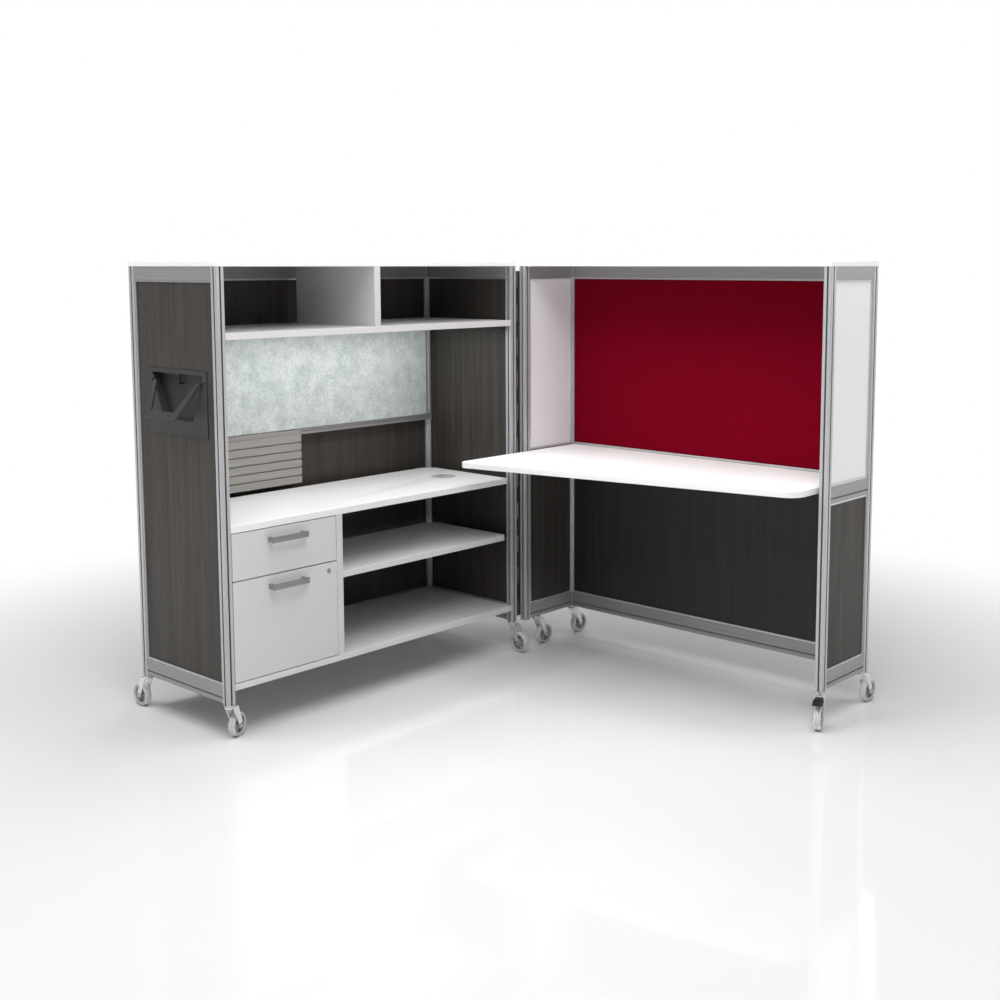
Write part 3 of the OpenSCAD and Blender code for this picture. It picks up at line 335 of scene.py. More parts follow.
# moulded plastic: a fine speckle with a little relief
def mouldedPlastic(name, dark, light, rough=(0.35, 0.5), size=0.0012, depth=0.0002):
    m, t, shader = newMaterial(name)
    s = placeGroup(t, speckle, Size=size)
    colourBetween(t, s.outputs["Fac"], shader, dark, light)
    roughBetween(t, s.outputs["Fac"], shader, *rough)
    relief(t, s.outputs["Fac"], shader, 0.2, depth, 0.0005)
    return m


# wheel tread: pale and partly clear, nearly smooth
def clearTread(name):
    m, t, shader = newMaterial(name, Transmission_Weight=0.18, IOR=1.5)
    s = placeGroup(t, speckle, Size=0.004)
    colourBetween(t, s.outputs["Fac"], shader, tone(222, 222, 224), tone(246, 246, 248))
    roughBetween(t, s.outputs["Fac"], shader, 0.1, 0.2)
    relief(t, s.outputs["Fac"], shader, 0.08, 0.0002, 0.0008)
    return m


# how finely the streaks are drawn along x, y and z
upright, level = (420, 420, 3), (3, 3, 420)
materials = {
    "postMetal": brushedMetal("postMetal", tone(184, 184, 186), tone(204, 204, 206), upright, (0.34, 0.46), 0.4),
    "railMetal": brushedMetal("railMetal", tone(150, 150, 151), tone(170, 170, 171), level, (0.34, 0.46), 0.4),
    "beadMetal": brushedMetal("beadMetal", tone(200, 200, 203), tone(222, 222, 225), upright, (0.25, 0.35)),
    "pullMetal": brushedMetal("pullMetal", tone(140, 140, 142), tone(166, 166, 168), level, (0.28, 0.36)),
    "zinc": brushedMetal("zinc", tone(190, 190, 194), tone(216, 216, 220), (90, 90, 90), (0.18, 0.3), 0.95),
    "forkZinc": brushedMetal("forkZinc", tone(238, 238, 240), tone(250, 250, 252), (70, 70, 70), (0.16, 0.28), 0.6, 0),
    "darkSteel": brushedMetal("darkSteel", tone(50, 50, 52), tone(62, 62, 64), (120, 120, 120), (0.4, 0.5), 0.3),
    "slatMetal": brushedMetal("slatMetal", tone(160, 157, 153), tone(182, 179, 175), level, (0.35, 0.45), 0.3),
    "whiteLaminate": laminate("whiteLaminate", tone(240, 240, 240), tone(245, 245, 245)),
    # drawer fronts, divider and pedestal panels: the white laminate made greyer, as painted shade for the light that
    # falls less on them
    "greyLaminate": laminate("greyLaminate", tone(208, 208, 208), tone(216, 216, 216)),
    # shelves: the white laminate a little darker, as painted shade
    "shelfLaminate": laminate("shelfLaminate", tone(216, 215, 215), tone(224, 223, 223)),
    # desk worksurface: the white laminate without coat and brighter; the brighter tone is painted light
    "deskLaminate": laminate("deskLaminate", tone(244, 244, 244), tone(249, 249, 249), (0.45, 0.6), coat=0.0),
    # the same brushed metal made darker: painted shade for the insides of the post slots and rail grooves
    "slotShade": brushedMetal("slotShade", tone(112, 112, 114), tone(132, 132, 134), upright, (0.5, 0.6), 0.3, 0),
    "lightPanel": laminate("lightPanel", tone(236, 236, 238), tone(243, 243, 245)),
    "drawerSteel": laminate("drawerSteel", tone(196, 196, 196), tone(206, 206, 206), (0.4, 0.5), 0.001),
    "wood": woodLaminate("wood", tone(50, 46, 42), tone(68, 63, 58)),
    "blackPanel": woodLaminate("blackPanel", tone(33, 31, 30), tone(44, 41, 40)),
    "mottled": mottledBoard("mottled"),
    "cloth": redCloth("cloth"),
    "panSteel": mouldedPlastic("panSteel", tone(48, 48, 49), tone(60, 60, 61), (0.4, 0.55)),
    "blackPlastic": mouldedPlastic("blackPlastic", tone(20, 20, 21), tone(30, 30, 31)),
    "blackSteel": mouldedPlastic("blackSteel", tone(18, 18, 19), tone(26, 26, 27), (0.3, 0.42)),
    "greyPlastic": mouldedPlastic("greyPlastic", tone(168, 165, 167), tone(182, 179, 181)),
    "tread": clearTread("tread"),
    "hubPlastic": mouldedPlastic("hubPlastic", tone(150, 151, 154), tone(172, 173, 176)),
}
nodeFinish = {
    "storage_posts": "postMetal", "desk_posts": "postMetal", "storage_rails": "railMetal", "desk_rails": "railMetal",
    "storage_beads": "beadMetal", "desk_beads": "beadMetal", "tool_rail": "railMetal", "grommet_ring": "greyPlastic",
    "grommet_cap": "greyPlastic", "box_drawer_pull": "pullMetal", "file_drawer_pull": "pullMetal",
    "storage_wall_panels": "wood", "desk_lower_panels": "wood", "desk_side_panels": "lightPanel",
    "desk_back_panel": "blackPanel", "display_board": "mottled", "slat_panel": "slatMetal",
    "storage_brackets": "darkSteel", "desk_brackets": "darkSteel", "tack_panel": "cloth",
    "box_drawer_tray": "drawerSteel", "file_drawer_tray": "drawerSteel", "handle_pan": "panSteel",
    "bail_handle": "panSteel", "handle_latch": "blackPlastic", "brake_pedal": "blackPlastic",
    "storage_hinge_leaf": "blackSteel", "desk_hinge_leaf": "blackSteel", "upper_divider": "greyLaminate",
    "box_drawer_front": "greyLaminate", "file_drawer_front": "greyLaminate", "pedestal_panels": "greyLaminate",
    "storage_shelves": "shelfLaminate", "desk_worksurface": "deskLaminate",
}
for nodeName, obj in frame["nodes"].items():
    if nodeName in nodeFinish:
        finish = nodeFinish[nodeName]
    elif nodeName.startswith("wheel_"):
        finish = "tread"
    elif nodeName.startswith("fork_"):
        finish = "forkZinc"
    elif "runner" in nodeName or "stems" in nodeName or nodeName in ("lock_plug", "hinge_pin"):
        finish = "zinc"
    else:
        finish = "whiteLaminate"
    obj.data.materials.clear()
    obj.data.materials.append(materials[finish])
print("finishes placed on the frame")


# distances in metres under which points are one, and the angle in radians under which faces are one
merge = {"drawn": 1e-6, "thin": 1e-7, "cad": 1e-5, "flat": 0.01}


# quads between the points of a grid, its columns wrapping round where asked
def gridQuads(rows, cols, wrapCols=False):
    i, j = np.meshgrid(np.arange(rows - 1), np.arange(cols if wrapCols else cols - 1), indexing="ij")
    nextI, nextJ = i + 1, (j + 1) % cols
    return np.stack([i * cols + j, nextI * cols + j, nextI * cols + nextJ, i * cols + nextJ], -1).reshape(-1, 4)


# a profile of (radius, height) pairs turned round the z axis
def turned(profile, around):
    p = np.asarray(profile, float)
    a = np.linspace(0, 2 * math.pi, around, endpoint=False)
    points = np.stack([p[:, :1] * np.cos(a), p[:, :1] * np.sin(a), np.repeat(p[:, 1:], around, 1)], -1)
    return points.reshape(-1, 3), gridQuads(len(p), around, wrapCols=True).tolist()


# a closed outline of (y, z) pairs carried along x, with both ends filled
def carried(outline, x0, x1):
    p = np.asarray(outline, float)
    k = len(p)
    points = np.concatenate([np.column_stack([np.full(k, x), p]) for x in (x0, x1)])
    faces = gridQuads(2, k, wrapCols=True).tolist()
    return points, faces + [list(range(k - 1, -1, -1)), list(range(k, 2 * k))]


# two grids of the same shape joined along their borders into one closed shell
def shell(outer, inner):
    rows, cols = outer.shape[:2]
    k = rows * cols
    index = np.arange(k).reshape(rows, cols)
    rim = np.concatenate([index[0, :], index[1:, -1], index[-1, -2::-1], index[-2:0:-1, 0]])
    nextRim = np.roll(rim, -1)
    sides = np.stack([rim, nextRim, nextRim + k, rim + k], -1)
    quads = gridQuads(rows, cols)
    faces = np.concatenate([quads, quads[:, ::-1] + k, sides])
    return np.concatenate([outer.reshape(-1, 3), inner.reshape(-1, 3)]), faces.tolist()


# rounded edges as a modifier, on edges sharper than an angle in degrees
def addBevel(obj, width, segments=2, angle=35):
    mod = obj.modifiers.new("softEdge", "BEVEL")
    mod.width, mod.segments, mod.limit_method = width, segments, "ANGLE"
    mod.angle_limit, mod.use_clamp_overlap, mod.harden_normals = math.radians(angle), True, False


# a finished mesh as an object: smooth but for edges over an angle, riding on its body, standing for its nodes
def placePiece(name, mesh, body, stands=(), slotName=None, bevel=None, smoothTo=40):
    mesh.polygons.foreach_set("use_smooth", [True] * len(mesh.polygons))
    mesh.set_sharp_from_angle(angle=math.radians(smoothTo))
    obj = bpy.data.objects.new(name, mesh)
    bpy.context.scene.collection.objects.link(obj)
    if bevel:
        addBevel(obj, *bevel)
    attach(obj, body)
    if stands:
        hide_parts(*stands)
    return obj


# a mesh from (points, faces, finish) parts: doubles merged and normals turned outwards
def newPiece(name, parts, body, stands=(), slotName=None, bevel=None, smoothTo=35):
    mesh = bpy.data.meshes.new(name)
    finishes = list(dict.fromkeys(finish for _, _, finish in parts))
    points, faces, which, base = [], [], [], 0
    for p, f, finish in parts:
        points.append(np.asarray(p, float))
        faces += [[v + base for v in face] for face in f]
        which += [finishes.index(finish)] * len(f)
        base += len(p)
    mesh.from_pydata(np.concatenate(points).tolist(), [], faces)
    for finish in finishes:
        mesh.materials.append(materials[finish])
    mesh.polygons.foreach_set("material_index", which)
    b = bmesh.new()
    b.from_mesh(mesh)
    bmesh.ops.remove_doubles(b, verts=b.verts, dist=merge["drawn"])
    bmesh.ops.dissolve_degenerate(b, edges=b.edges, dist=merge["thin"])
    bmesh.ops.recalc_face_normals(b, faces=b.faces)
    b.to_mesh(mesh)
    b.free()
    return placePiece(name, mesh, body, stands, slotName, bevel, smoothTo)


# a copy of a CAD node's mesh, open for editing, with its doubles merged and its flat faces joined
def mergedCopy(node):
    mesh = frame["nodes"][node].data.copy()
    b = bmesh.new()
    b.from_mesh(mesh)
    bmesh.ops.remove_doubles(b, verts=b.verts, dist=merge["cad"])
    bmesh.ops.dissolve_limit(b, angle_limit=merge["flat"], verts=b.verts, edges=b.edges)
    return mesh, b


nodeBody = {node: body for body, nodes in frame["record"]["behaviour"]["bodies"].items() for node in nodes}
nodeSlot = {s["node"]: s["material_slot"] for s in frame["record"]["subparts"]}

# CAD boards and castings whose sharp edges are rounded: node, width of the round in metres, segments
softEdges = {
    "storage_top_panel": (0.0015, 3), "desk_top_panel": (0.0015, 3), "storage_shelves": (0.0012, 3),
    "upper_divider": (0.0012, 3), "storage_worksurface": (0.0015, 3), "desk_worksurface": (0.002, 3),
    "display_board": (0.0015, 3), "pedestal_panels": (0.001, 2), "box_drawer_front": (0.0018, 3),
    "file_drawer_front": (0.0018, 3), "box_drawer_tray": (0.0004, 2), "file_drawer_tray": (0.0004, 2),
    "box_drawer_pull": (0.0012, 3), "file_drawer_pull": (0.0012, 3), "storage_brackets": (0.0006, 2),
    "desk_brackets": (0.0006, 2), "handle_pan": (0.0009, 3), "bail_handle": (0.0016, 3),
    "handle_latch": (0.0009, 3), "lock_plug": (0.0003, 2), "grommet_ring": (0.0005, 2), "grommet_cap": (0.0006, 3),
    "brake_pedal": (0.0008, 3), "storage_caster_stems": (0.0009, 3), "desk_caster_stems": (0.0009, 3),
    "storage_hinge_leaf": (0.0003, 2), "desk_hinge_leaf": (0.0003, 2),
}


# a merged copy of a CAD node with live rounded edges, standing for the node
def softEdged(node, bevel):
    mesh, b = mergedCopy(node)
    b.to_mesh(mesh)
    b.free()
    placePiece(node + "_soft", mesh, nodeBody[node], [node], nodeSlot[node], bevel)


for node, bevel in softEdges.items():
    softEdged(node, bevel)
print("edges rounded on", len(softEdges), "nodes")

# slots of the posts and grooves of the rails, whose insides get painted shade: depth that counts as inside, groove
# height, widest lip, least length, and the steepest upright part of a normal that counts as a side
grooves = {"inside": 0.0012, "high": (0.0045, 0.0055), "lip": 0.003, "long": 0.05, "postSide": 0.5, "railSide": 0.1}


# a post's slot faces lie nearer its middle than its outer faces do, by more than the given depth
def slotFaces(faces, g):
    points = np.array([v.co[:2] for f in faces for v in f.verts], float)
    low, high = points.min(0), points.max(0)
    middle, half = (low + high) / 2, (high - low).max() / 2
    for f in faces:
        away = np.abs(np.array(f.calc_center_median()[:2]) - middle).max()
        if away < half - g["inside"] and abs(f.normal.z) < g["postSide"]:
            yield f


# a rail's groove is a long upright face of the groove's height, with the two narrow faces beside it
def grooveFaces(faces, g):
    for f in faces:
        z = [v.co.z for v in f.verts]
        longest = max(e.calc_length() for e in f.edges)
        if abs(f.normal.z) < g["railSide"] and g["high"][0] < max(z) - min(z) < g["high"][1] and longest > g["long"]:
            yield f
            for e in f.edges:
                yield from (k for k in e.link_faces if e.calc_length() > g["long"]
                            and k.calc_area() / e.calc_length() < g["lip"])


# the node's solids are taken one by one, as islands of linked faces, and the picked faces get a darker copy of the
# metal: painted shade in the slots and grooves, whose real metal is the same as outside
def paintGrooveShade(node, pick, g=grooves):
    mesh, b = mergedCopy(node)
    mesh.materials.append(materials["slotShade"])
    left, dark = set(b.faces), 0
    while left:
        island, front = set(), {left.pop()}
        while front:
            island |= front
            front = {k for f in front for e in f.edges for k in e.link_faces} - island
        left -= island
        for f in list(pick(list(island), g)):
            f.material_index = 1
            dark += 1
    b.to_mesh(mesh)
    b.free()
    placePiece(node + "_grooved", mesh, nodeBody[node], [node], nodeSlot[node])
    print("grooves darkened:", node, dark, "faces")


for half in ("storage", "desk"):
    paintGrooveShade(half + "_posts", slotFaces)
    paintGrooveShade(half + "_rails", grooveFaces)

# casters: each is drawn with its swivel axis on z, heading along x, and z = 0 at the post's foot
caster = {"foot": 0.114, "trail": 0.042, "axle": -0.076, "crownTop": -0.0073, "crownLow": -0.0113,
          "legWide": 0.027, "legNarrow": 0.016, "legBack": 0.0, "half": 0.016, "sheet": 0.0025, "bossR": 0.009,
          "slopeShares": (0.9, 0.45), "bend": 0.004, "crownR": 0.0168, "axleR": 0.005, "columns": 15,
          "bossRows": 12, "bossShare": 0.25, "legRows": 18, "legShare": 0.28, "bendRows": 6, "crownRows": 8}
# sunk panel of each leg: depth, half width as a share of the leg, and where it starts and ends up the leg, each
# with how steeply it does
legBead = {"deep": 0.0008, "wide": 0.17, "from": (0.32, 8), "to": (0.93, 9)}
# turned parts of a fork, as (radius, height) pairs; the pin and its ears carry the brake at (along, up)
washer = [(0, 0), (0.0082, 0), (0.0082, 0.0005), (0, 0.0005)]
boltHead = [(0, 0.0005), (0.0068, 0.0005), (0.0068, 0.0015), (0.0058, 0.002), (0, 0.002)]
bearingCup = [(0.0046, -0.0113), (0.0125, -0.0113), (0.0155, -0.0108), (0.0166, -0.0096), (0.0169, -0.0082),
              (0.0165, -0.0068), (0.0155, -0.0063), (0.0046, -0.0063), (0.0046, -0.0113)]
brakeEar = [(0, 0), (0.005, 0), (0.005, 0.0019), (0.0044, 0.0025), (0, 0.0025)]
brakePin = {"at": (0.022, -0.019), "r": 0.0024, "half": 0.0163}
joints = {j["name"]: j for j in frame["joints"]}


# points drawn in the caster's own axes, taken to the place and heading of one caster
def atCaster(points, end):
    p = np.asarray(points, float)
    swivel, axle = (np.array(joints[k + end]["pos_m"]) for k in ("swivel_", "roll_"))
    ahead = (axle - swivel) * (1, 1, 0)
    ahead /= np.linalg.norm(ahead)
    side = np.array([-ahead[1], ahead[0], 0])
    place = np.array([swivel[0], swivel[1], caster["foot"]])
    return place + p[..., :1] * ahead + p[..., 1:2] * side + p[..., 2:] * (0, 0, 1)


# fork: one bent sheet from boss to boss; rows run up one leg, over the crown and down the other, columns from
# the rear edge to the front; the leg's edges are straight lines that end in a half circle round the axle, and
# the crown swells to a circle round the swivel axis
def forkSheet(c, bead, inset):
    legT = np.concatenate([np.sin(np.linspace(0, math.pi / 2, c["bossRows"])) * c["bossShare"],
                           np.linspace(c["legShare"], 1, c["legRows"])])
    zLow = c["axle"] - c["bossR"]
    z = zLow + (c["crownLow"] - zLow) * legT
    down = np.clip((z - c["axle"]) / c["bossR"], -1, 1)
    circle = c["bossR"] * np.sqrt(1 - down ** 2)
    slope = [share * c["bossR"] for share in c["slopeShares"]]
    span = c["crownLow"] - c["axle"]
    rear = np.where(z > c["axle"] - slope[1], (c["trail"] - slope[0] + c["legBack"]) * (c["crownLow"] - z)
                    / (span + slope[1]) - c["legBack"], c["trail"] - circle)
    front = np.where(z > c["axle"] + slope[1], c["legWide"] + (c["trail"] + slope[0] - c["legWide"])
                     * (c["crownLow"] - z) / (span - slope[1]), c["trail"] + circle)
    turn = np.linspace(0, math.pi / 2, c["bendRows"] + 1)[1:]
    flat = np.linspace(1, 0, c["crownRows"] + 1)[1:] * (c["half"] - c["bend"])
    rows = c["bendRows"] + c["crownRows"]
    y = np.concatenate([np.full(len(z), c["half"]), c["half"] - c["bend"] * (1 - np.cos(turn)), flat])
    zAll = np.concatenate([z, c["crownLow"] + c["bend"] * np.sin(turn), np.full(len(flat), c["crownTop"])])
    swell = np.sqrt(np.clip(1 - (y / c["half"]) ** 2, 0, 1)) * (y < c["half"] - 1e-9)
    rearAll = np.concatenate([rear, np.full(rows, -c["legBack"])]) - swell * (c["crownR"] - c["legBack"])
    frontAll = np.concatenate([front, np.full(rows, c["legWide"])]) + swell * (c["crownR"] - c["legWide"])
    w = np.linspace(0, 1, c["columns"])[None, :]
    x = rearAll[:, None] * (1 - w) + frontAll[:, None] * w
    starts = np.clip((legT - bead["from"][0]) * bead["from"][1], 0, 1)[:, None]
    ends = np.clip((bead["to"][0] - legT) * bead["to"][1], 0, 1)[:, None]
    pressed = np.exp(-((w - 0.5) / bead["wide"]) ** 4) * starts * ends
    sunk = np.concatenate([pressed, np.zeros((rows, c["columns"]))]) * bead["deep"]
    inwardY = np.concatenate([np.ones(len(z)), np.cos(turn), np.zeros(len(flat))])[:, None]
    inwardZ = np.concatenate([np.zeros(len(z)), np.sin(turn), np.ones(len(flat))])[:, None]
    yGrid = np.repeat(y[:, None], c["columns"], 1) - sunk - inset * inwardY
    zGrid = np.repeat(zAll[:, None], c["columns"], 1) - inset * inwardZ
    leg = np.stack([x, yGrid, zGrid], -1)
    return np.concatenate([leg, leg[-2::-1] * (1, -1, 1)])


# a turned profile laid along y from a leg's face or the middle, at (along, up); side turns it outwards
def acrossFork(profile, around, at, start=0.0, side=1):
    p, f = turned(profile, around)
    return np.stack([p[:, 0] + at[0], side * (start + p[:, 2]), p[:, 1] + at[1]], -1), f


# the profile of a plain pin of a radius, reaching as far to either side
def pinProfile(r, half):
    return [(0, -half), (r, -half), (r, half), (0, half)]


# one caster's fork: bent sheet, washers, bolt heads, axle and bearing cup, and the brake's ears and pin
def makeFork(end, c, bead, pin):
    braked = end == "desk_front"
    # the braked caster's legs stay narrow, because it meets the storage half's front caster when closed
    c = dict(c, legWide=c["legNarrow"]) if braked else c
    hub = (c["trail"], c["axle"])
    parts = [(*shell(forkSheet(c, bead, 0), forkSheet(c, bead, c["sheet"])), "forkZinc")]
    for side in (1, -1):
        parts += [(*acrossFork(washer, 28, hub, c["half"], side), "zinc"),
                  (*acrossFork(boltHead, 6, hub, c["half"], side), "zinc")]
    parts.append((*acrossFork(pinProfile(c["axleR"], c["half"]), 24, hub), "zinc"))
    parts.append((*turned(bearingCup, 40), "forkZinc"))
    if braked:
        for side in (1, -1):
            parts.append((*acrossFork(brakeEar, 24, pin["at"], c["half"] - c["sheet"], side), "forkZinc"))
        parts.append((*acrossFork(pinProfile(pin["r"], pin["half"]), 20, pin["at"]), "zinc"))
    parts = [(atCaster(p, end), f, finish) for p, f, finish in parts]
    newPiece("fork_sheet_" + end, parts, "fork_" + end + "_body", ["fork_" + end], "fork_zinc", (0.0004, 2, 50))


# wheels: a soft tread with shoulders and a groove round its wall and its middle, a rim, a hub and spokes between
wheel = {"r": 0.038, "half": 0.012, "tread": 0.006, "wall": (0.0335, 0.0325, 0.0315), "wallDeep": 0.0006,
         "seatR": (0.0008, 0.0002), "seatY": (0.0002, 0.0004), "midGroove": (0.0016, 0.0008, 0.0004),
         "rimR": 0.0285, "rimHalf": 0.0096, "rimSkin": (0.0026, 0.0030), "rimFlat": 0.003, "rimSlope": 0.0008,
         "boreR": 0.0052, "hubR": 0.0105, "hubHalf": (0.0112, 0.0104, 0.008), "hubSlope": (0.002, 0.0006),
         "spokes": 6, "spokeHalf": 0.0026, "spokeDeepShare": 0.72, "spokeWaist": 1.1, "squareness": 0.7,
         "overlap": 0.001}


# cosine or sine whose peaks are flattened, for an outline between an oval and a box
def squared(v, power):
    return np.sign(v) * np.abs(v) ** power


# spoke: an oval section carried outwards from the hub to the rim, thinner in the middle
def spoke(w, angle):
    s = np.linspace(0, 1, 9)[:, None]
    a = np.linspace(0, 2 * math.pi, 16, endpoint=False)[None, :]
    reach = w["hubR"] - w["overlap"] + (w["rimR"] - w["hubR"] + 2 * w["overlap"]) * s
    waist = 1 + w["spokeWaist"] * (2 * s - 1) ** 2
    across = w["spokeHalf"] * waist * squared(np.cos(a), w["squareness"])
    deep = w["rimHalf"] * w["spokeDeepShare"] * squared(np.sin(a), w["squareness"]) * np.ones_like(s)
    x = reach * math.cos(angle) - across * math.sin(angle)
    z = reach * math.sin(angle) + across * math.cos(angle)
    return np.stack([x, deep, z], -1).reshape(-1, 3), gridQuads(9, 16, wrapCols=True).tolist()


# one caster's wheel: three closed profiles turned round the axle, and the spokes
def makeWheel(end, w, c):
    turn = np.linspace(0, math.pi / 2, 8)
    shoulderR = w["r"] - w["tread"] + w["tread"] * np.cos(turn)
    shoulderY = w["half"] - w["tread"] + w["tread"] * np.sin(turn)
    outR, deepR, inR = w["wall"]
    wall = [(outR, w["half"]), (deepR, w["half"] - w["wallDeep"]), (inR, w["half"]),
            (w["rimR"] + w["seatR"][0], w["half"] - w["seatY"][0]),
            (w["rimR"] - w["seatR"][1], w["rimHalf"] + w["seatY"][1])]
    oneSide = np.concatenate([np.column_stack([shoulderR, shoulderY]), wall])
    wide, narrow, deep = w["midGroove"]
    middle = [(w["r"], wide), (w["r"] - deep, narrow), (w["r"] - deep, -narrow), (w["r"], -wide)]
    tyre = np.concatenate([oneSide[::-1], middle, oneSide * (1, -1)])
    tyre = np.concatenate([tyre, tyre[:1]])
    lipR, floorR = (w["rimR"] - skin for skin in w["rimSkin"])
    rimLip = w["rimHalf"] - w["rimSlope"]
    rim = [(w["rimR"], w["rimHalf"]), (w["rimR"], -w["rimHalf"]), (lipR, -rimLip), (floorR, -w["rimFlat"]),
           (floorR, w["rimFlat"]), (lipR, rimLip), (w["rimR"], w["rimHalf"])]
    faceR, edgeR = (w["hubR"] - slope for slope in w["hubSlope"])
    faceY, edgeY, sideY = w["hubHalf"]
    hub = [(w["boreR"], faceY), (faceR, faceY), (edgeR, edgeY), (w["hubR"], sideY), (w["hubR"], -sideY),
           (edgeR, -edgeY), (faceR, -faceY), (w["boreR"], -faceY), (w["boreR"], faceY)]
    parts = []
    for profile, finish, around in ((tyre, "tread", 72), (rim, "hubPlastic", 60), (hub, "hubPlastic", 32)):
        p, f = turned(profile, around)
        parts.append((p[:, [0, 2, 1]], f, finish))
    for k in range(w["spokes"]):
        parts.append((*spoke(w, 2 * math.pi * k / w["spokes"]), "hubPlastic"))
    parts = [(atCaster(p + (c["trail"], 0, c["axle"]), end), f, finish) for p, f, finish in parts]
    newPiece("wheel_spoked_" + end, parts, "wheel_" + end + "_body", ["wheel_" + end], "wheel_grey")


for end in [name.removeprefix("swivel_") for name in joints if name.startswith("swivel_")]:
    makeFork(end, caster, legBead, brakePin)
    makeWheel(end, wheel, caster)
print("casters dressed")

# ribs across the brake pedal's tread plate, drawn in the fork's axes on the plate's slanting top
pedalGrip = {"from": 0.049, "to": 0.076, "count": 6, "halfWide": 0.0155, "high": 0.0009, "halfRib": 0.0009,
             "topShare": 0.5, "sunk": 0.0006, "plateTop": -0.0168, "slant": -0.184}


# each rib is a low trapezium carried across the pedal, its foot sunk into the plate
def makePedalGrip(g):
    parts = []
    for x in np.linspace(g["from"], g["to"], g["count"]):
        z = g["plateTop"] + (x - caster["trail"]) * g["slant"]
        halfTop = g["halfRib"] * g["topShare"]
        outline = [(x - g["halfRib"], z - g["sunk"]), (x + g["halfRib"], z - g["sunk"]),
                   (x + halfTop, z + g["high"]), (x - halfTop, z + g["high"])]
        p, f = carried(outline, -g["halfWide"], g["halfWide"])
        parts.append((atCaster(p[:, [1, 0, 2]], "desk_front"), f, "blackPlastic"))
    newPiece("pedal_grip", parts, "brake", slotName="black_plastic", smoothTo=20)


makePedalGrip(pedalGrip)

# fabric board: a stretched cloth face, crowned between its edges and drawn down round them, in metres; the
# ripple is a product of two waves, each (radians per metre, how far the other axis sways it, and at what rate)
tackBoard = {"crown": 0.0016, "crownPower": 4, "edge": 0.005, "board": 0.013, "bead": 0.0065, "tuck": 0.004,
             "ripple": 0.00012, "waves": ((37, 3, 9), (29, 2, 11)), "grid": (121, 91)}


# one wave along a, swayed by the other axis b
def swayed(a, b, rate, sway, swayRate):
    return np.sin(a * rate + sway * np.sin(b * swayRate))


# the face is a grid in the board's plane whose depth is a quarter circle at the edges plus the crown
def makeTackBoard(t):
    low, high = (np.array(v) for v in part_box("tack_panel"))
    u, v = np.meshgrid(np.linspace(-1, 1, t["grid"][0]), np.linspace(-1, 1, t["grid"][1]), indexing="ij")
    u, v = np.sin(u * math.pi / 2), np.sin(v * math.pi / 2)  # closer together at the edges, where the cloth turns
    centre, halfSize = (low + high) / 2, (high - low) / 2
    inner = halfSize - (t["bead"], 0, t["bead"])
    x, z = centre[0] + u * inner[0], centre[2] + v * inner[2]
    toEdge = np.minimum((1 - np.abs(u)) * inner[0], (1 - np.abs(v)) * inner[2])
    roll = np.sqrt(np.clip(1 - (1 - np.clip(toEdge / t["edge"], 0, 1)) ** 2, 0, 1))
    crown = (1 - u ** t["crownPower"]) * (1 - v ** t["crownPower"])
    ripple = swayed(x, z, *t["waves"][0]) * swayed(z, x, *t["waves"][1]) * t["ripple"]
    boardFace = high[1] - t["board"]
    pad = boardFace - low[1] - t["crown"] - 2 * t["ripple"]
    front = boardFace - pad * roll - crown * (t["crown"] + ripple)
    back = np.full_like(x, boardFace + t["tuck"])
    parts = [(*shell(np.stack([x, front, z], -1), np.stack([x, back, z], -1)), "cloth")]
    # the board behind the cloth, held between the beads
    board = [(low[0], low[2]), (high[0], low[2]), (high[0], high[2]), (low[0], high[2])]
    p, f = carried(board, boardFace, high[1])
    parts.append((p[:, [1, 0, 2]], f, "cloth"))
    obj = newPiece("tack_cloth", parts, nodeBody["tack_panel"], ["tack_panel"], "red_fabric", smoothTo=60)


makeTackBoard(tackBoard)
print("fabric board stretched")

# slat wall: one extrusion; each slat's outline has rounded lips that overhang a channel behind the gap
slatWall = {"pitch": 0.0297, "gap": 0.004, "count": 6, "lip": 0.0014, "overhang": 0.0032, "round": 0.0022,
            "plate": 0.003, "edge": 0.0004}


# the outline runs up the wall, slat by slat: lip, rounded front, lip, channel floor; it is carried along y
def makeSlatWall(s):
    low, high = (np.array(v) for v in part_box("slat_panel"))
    front, back = high[0], low[0]
    floor = back + s["plate"]
    lipBack = front - s["round"] - s["lip"]
    a = np.linspace(0, math.pi / 2, 6)
    outline = [(back, low[2] + s["overhang"]), (floor, low[2] + s["overhang"])]
    for k in range(s["count"]):
        z0 = low[2] + k * s["pitch"]
        z1 = z0 + s["pitch"] - s["gap"]
        lower = np.column_stack([front - s["round"] + s["round"] * np.sin(a), z0 + s["round"] * (1 - np.cos(a))])
        upper = np.column_stack([front - s["round"] + s["round"] * np.cos(a), z1 - s["round"] * (1 - np.sin(a))])
        outline += [(lipBack, z0 + s["overhang"]), (lipBack, z0 + s["edge"]), (lipBack + s["edge"], z0)]
        outline += [tuple(v) for v in lower] + [tuple(v) for v in upper]
        outline += [(lipBack + s["edge"], z1), (lipBack, z1 - s["edge"]), (lipBack, z1 - s["overhang"]),
                    (floor, z1 - s["overhang"])]
        if k < s["count"] - 1:
            outline += [(floor, z1 + s["gap"] + s["overhang"])]
    outline += [(floor, high[2]), (back, high[2])]
    p, f = carried(outline, low[1], high[1])
    newPiece("slat_wall", [(p[:, [1, 0, 2]], f, "slatMetal")], "storage_half", ["slat_panel"], "slats", smoothTo=25)


makeSlatWall(slatWall)

# low screw heads with a round socket; the outline is in shares of the head's radius and height
screw = {"r": 0.0036, "high": 0.001, "socket": 0.0015, "floorShare": 0.35, "flare": (1.06, 0.96),
         "dome": ((0.66, 0.86), (0.9, 0.5))}
# rows of them up the hinge leaves: place in plan, the way they face, first and last height
hingeScrews = {"storage": {"at": (-0.4115, 0.4922), "out": (0, 1, 0)},
               "desk": {"at": (-0.3954, 0.5215), "out": (-1, 0, 0)}, "from": 0.162, "to": 1.406, "count": 12}


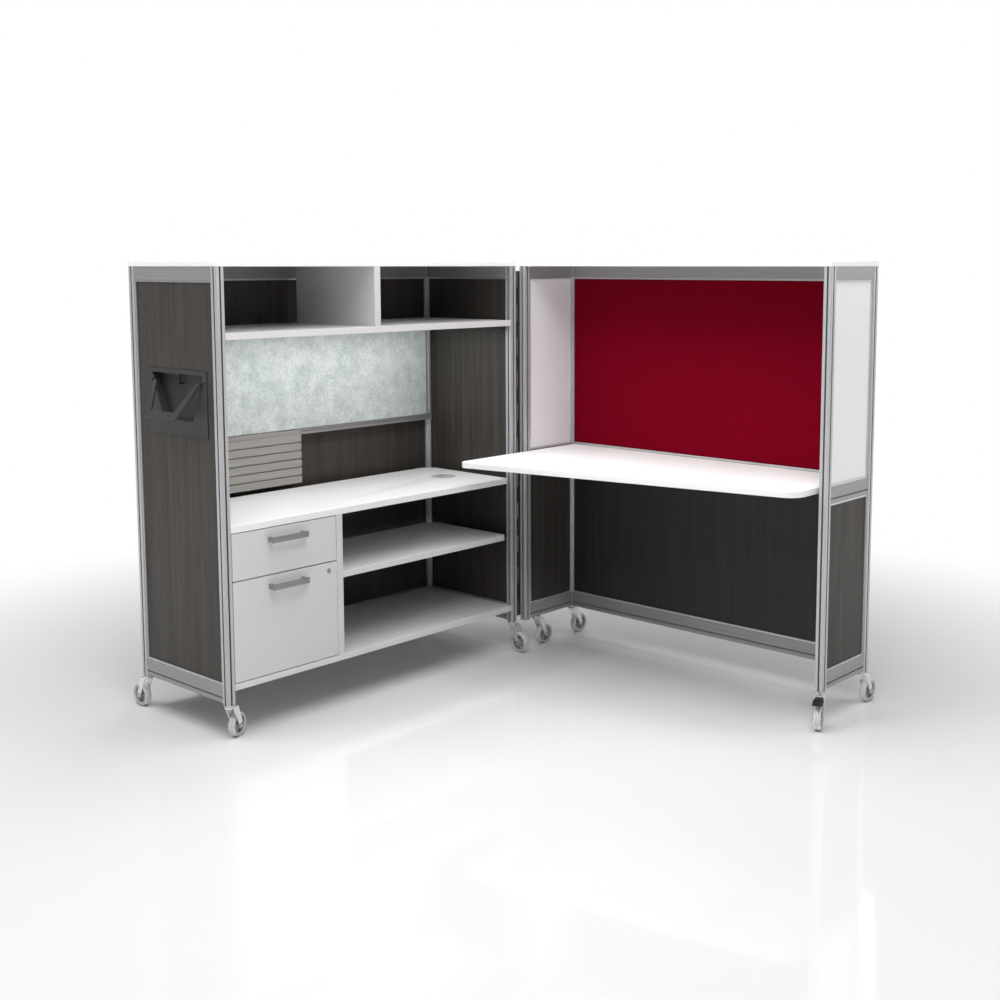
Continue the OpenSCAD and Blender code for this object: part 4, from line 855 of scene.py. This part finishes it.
# a row of screw heads as one piece: the turned profile with its axis laid along the way they face
def screwRow(half, h, s):
    profile = [(0, s["high"] * s["floorShare"]), (s["socket"], s["high"] * s["floorShare"]),
               (s["socket"] * s["flare"][0], s["high"] * s["flare"][1]),
               *((s["r"] * r, s["high"] * z) for r, z in s["dome"]), (s["r"], 0), (0, 0)]
    p, f = turned(profile, 20)
    out, up = np.array(h[half]["out"], float), np.array([0, 0, 1.0])
    head = p[:, :1] * up + p[:, 1:2] * np.cross(out, up) + p[:, 2:] * out
    heights = np.linspace(h["from"], h["to"], h["count"])
    parts = [(head + (*h[half]["at"], z), f, "darkSteel") for z in heights]
    newPiece(half + "_hinge_screws", parts, half + "_half", slotName=nodeSlot[half + "_hinge_leaf"])


for half in ("storage", "desk"):
    screwRow(half, hingeScrews, screw)
print("slats and screws made")


# floor: a flat disc of rings that fades to white away from the object
def addFloor(s):
    rings, spokes = s["rings"], s["spokes"]
    r = np.linspace(0, 1, rings + 1)[1:, None] ** s["ringCrowd"] * s["floorRadius"]
    a = np.linspace(0, 2 * math.pi, spokes, endpoint=False)[None, :]
    ring = np.stack([r * np.cos(a), r * np.sin(a), np.zeros((rings, spokes))], -1).reshape(-1, 3)
    j = np.arange(spokes)
    middle = np.stack([np.full(spokes, len(ring)), j, (j + 1) % spokes], -1)
    mesh = bpy.data.meshes.new("floor")
    mesh.from_pydata(ring.tolist() + [[0, 0, 0]], [],
                     gridQuads(rings, spokes, wrapCols=True).tolist() + middle.tolist())
    floor = bpy.data.objects.new("floor", mesh)
    bpy.context.scene.collection.objects.link(floor)
    m, t, shader = newMaterial("paleFloor", Base_Color=(s["floorTone"],) * 3 + (1,), Roughness=s["floorRough"])
    glow = n(t, "Emission", Strength=1.0)
    coord = n(t, "TexCoord")
    length = n(t, "VectorMath", operation="LENGTH")
    wire(t, coord.outputs["Object"], length.inputs[0])
    fade = n(t, "MapRange", From_Min=s["fadeFrom"], From_Max=s["fadeTo"], interpolation_type="SMOOTHSTEP")
    wire(t, length.outputs["Value"], fade.inputs["Value"])
    mix = n(t, "MixShader")
    wire(t, fade.outputs[0], mix.inputs[0])
    wire(t, shader.outputs[0], mix.inputs[1])
    wire(t, glow.outputs[0], mix.inputs[2])
    wire(t, mix.outputs[0], t.nodes["Material Output"].inputs["Surface"])
    mesh.materials.append(m)


addFloor(studio)
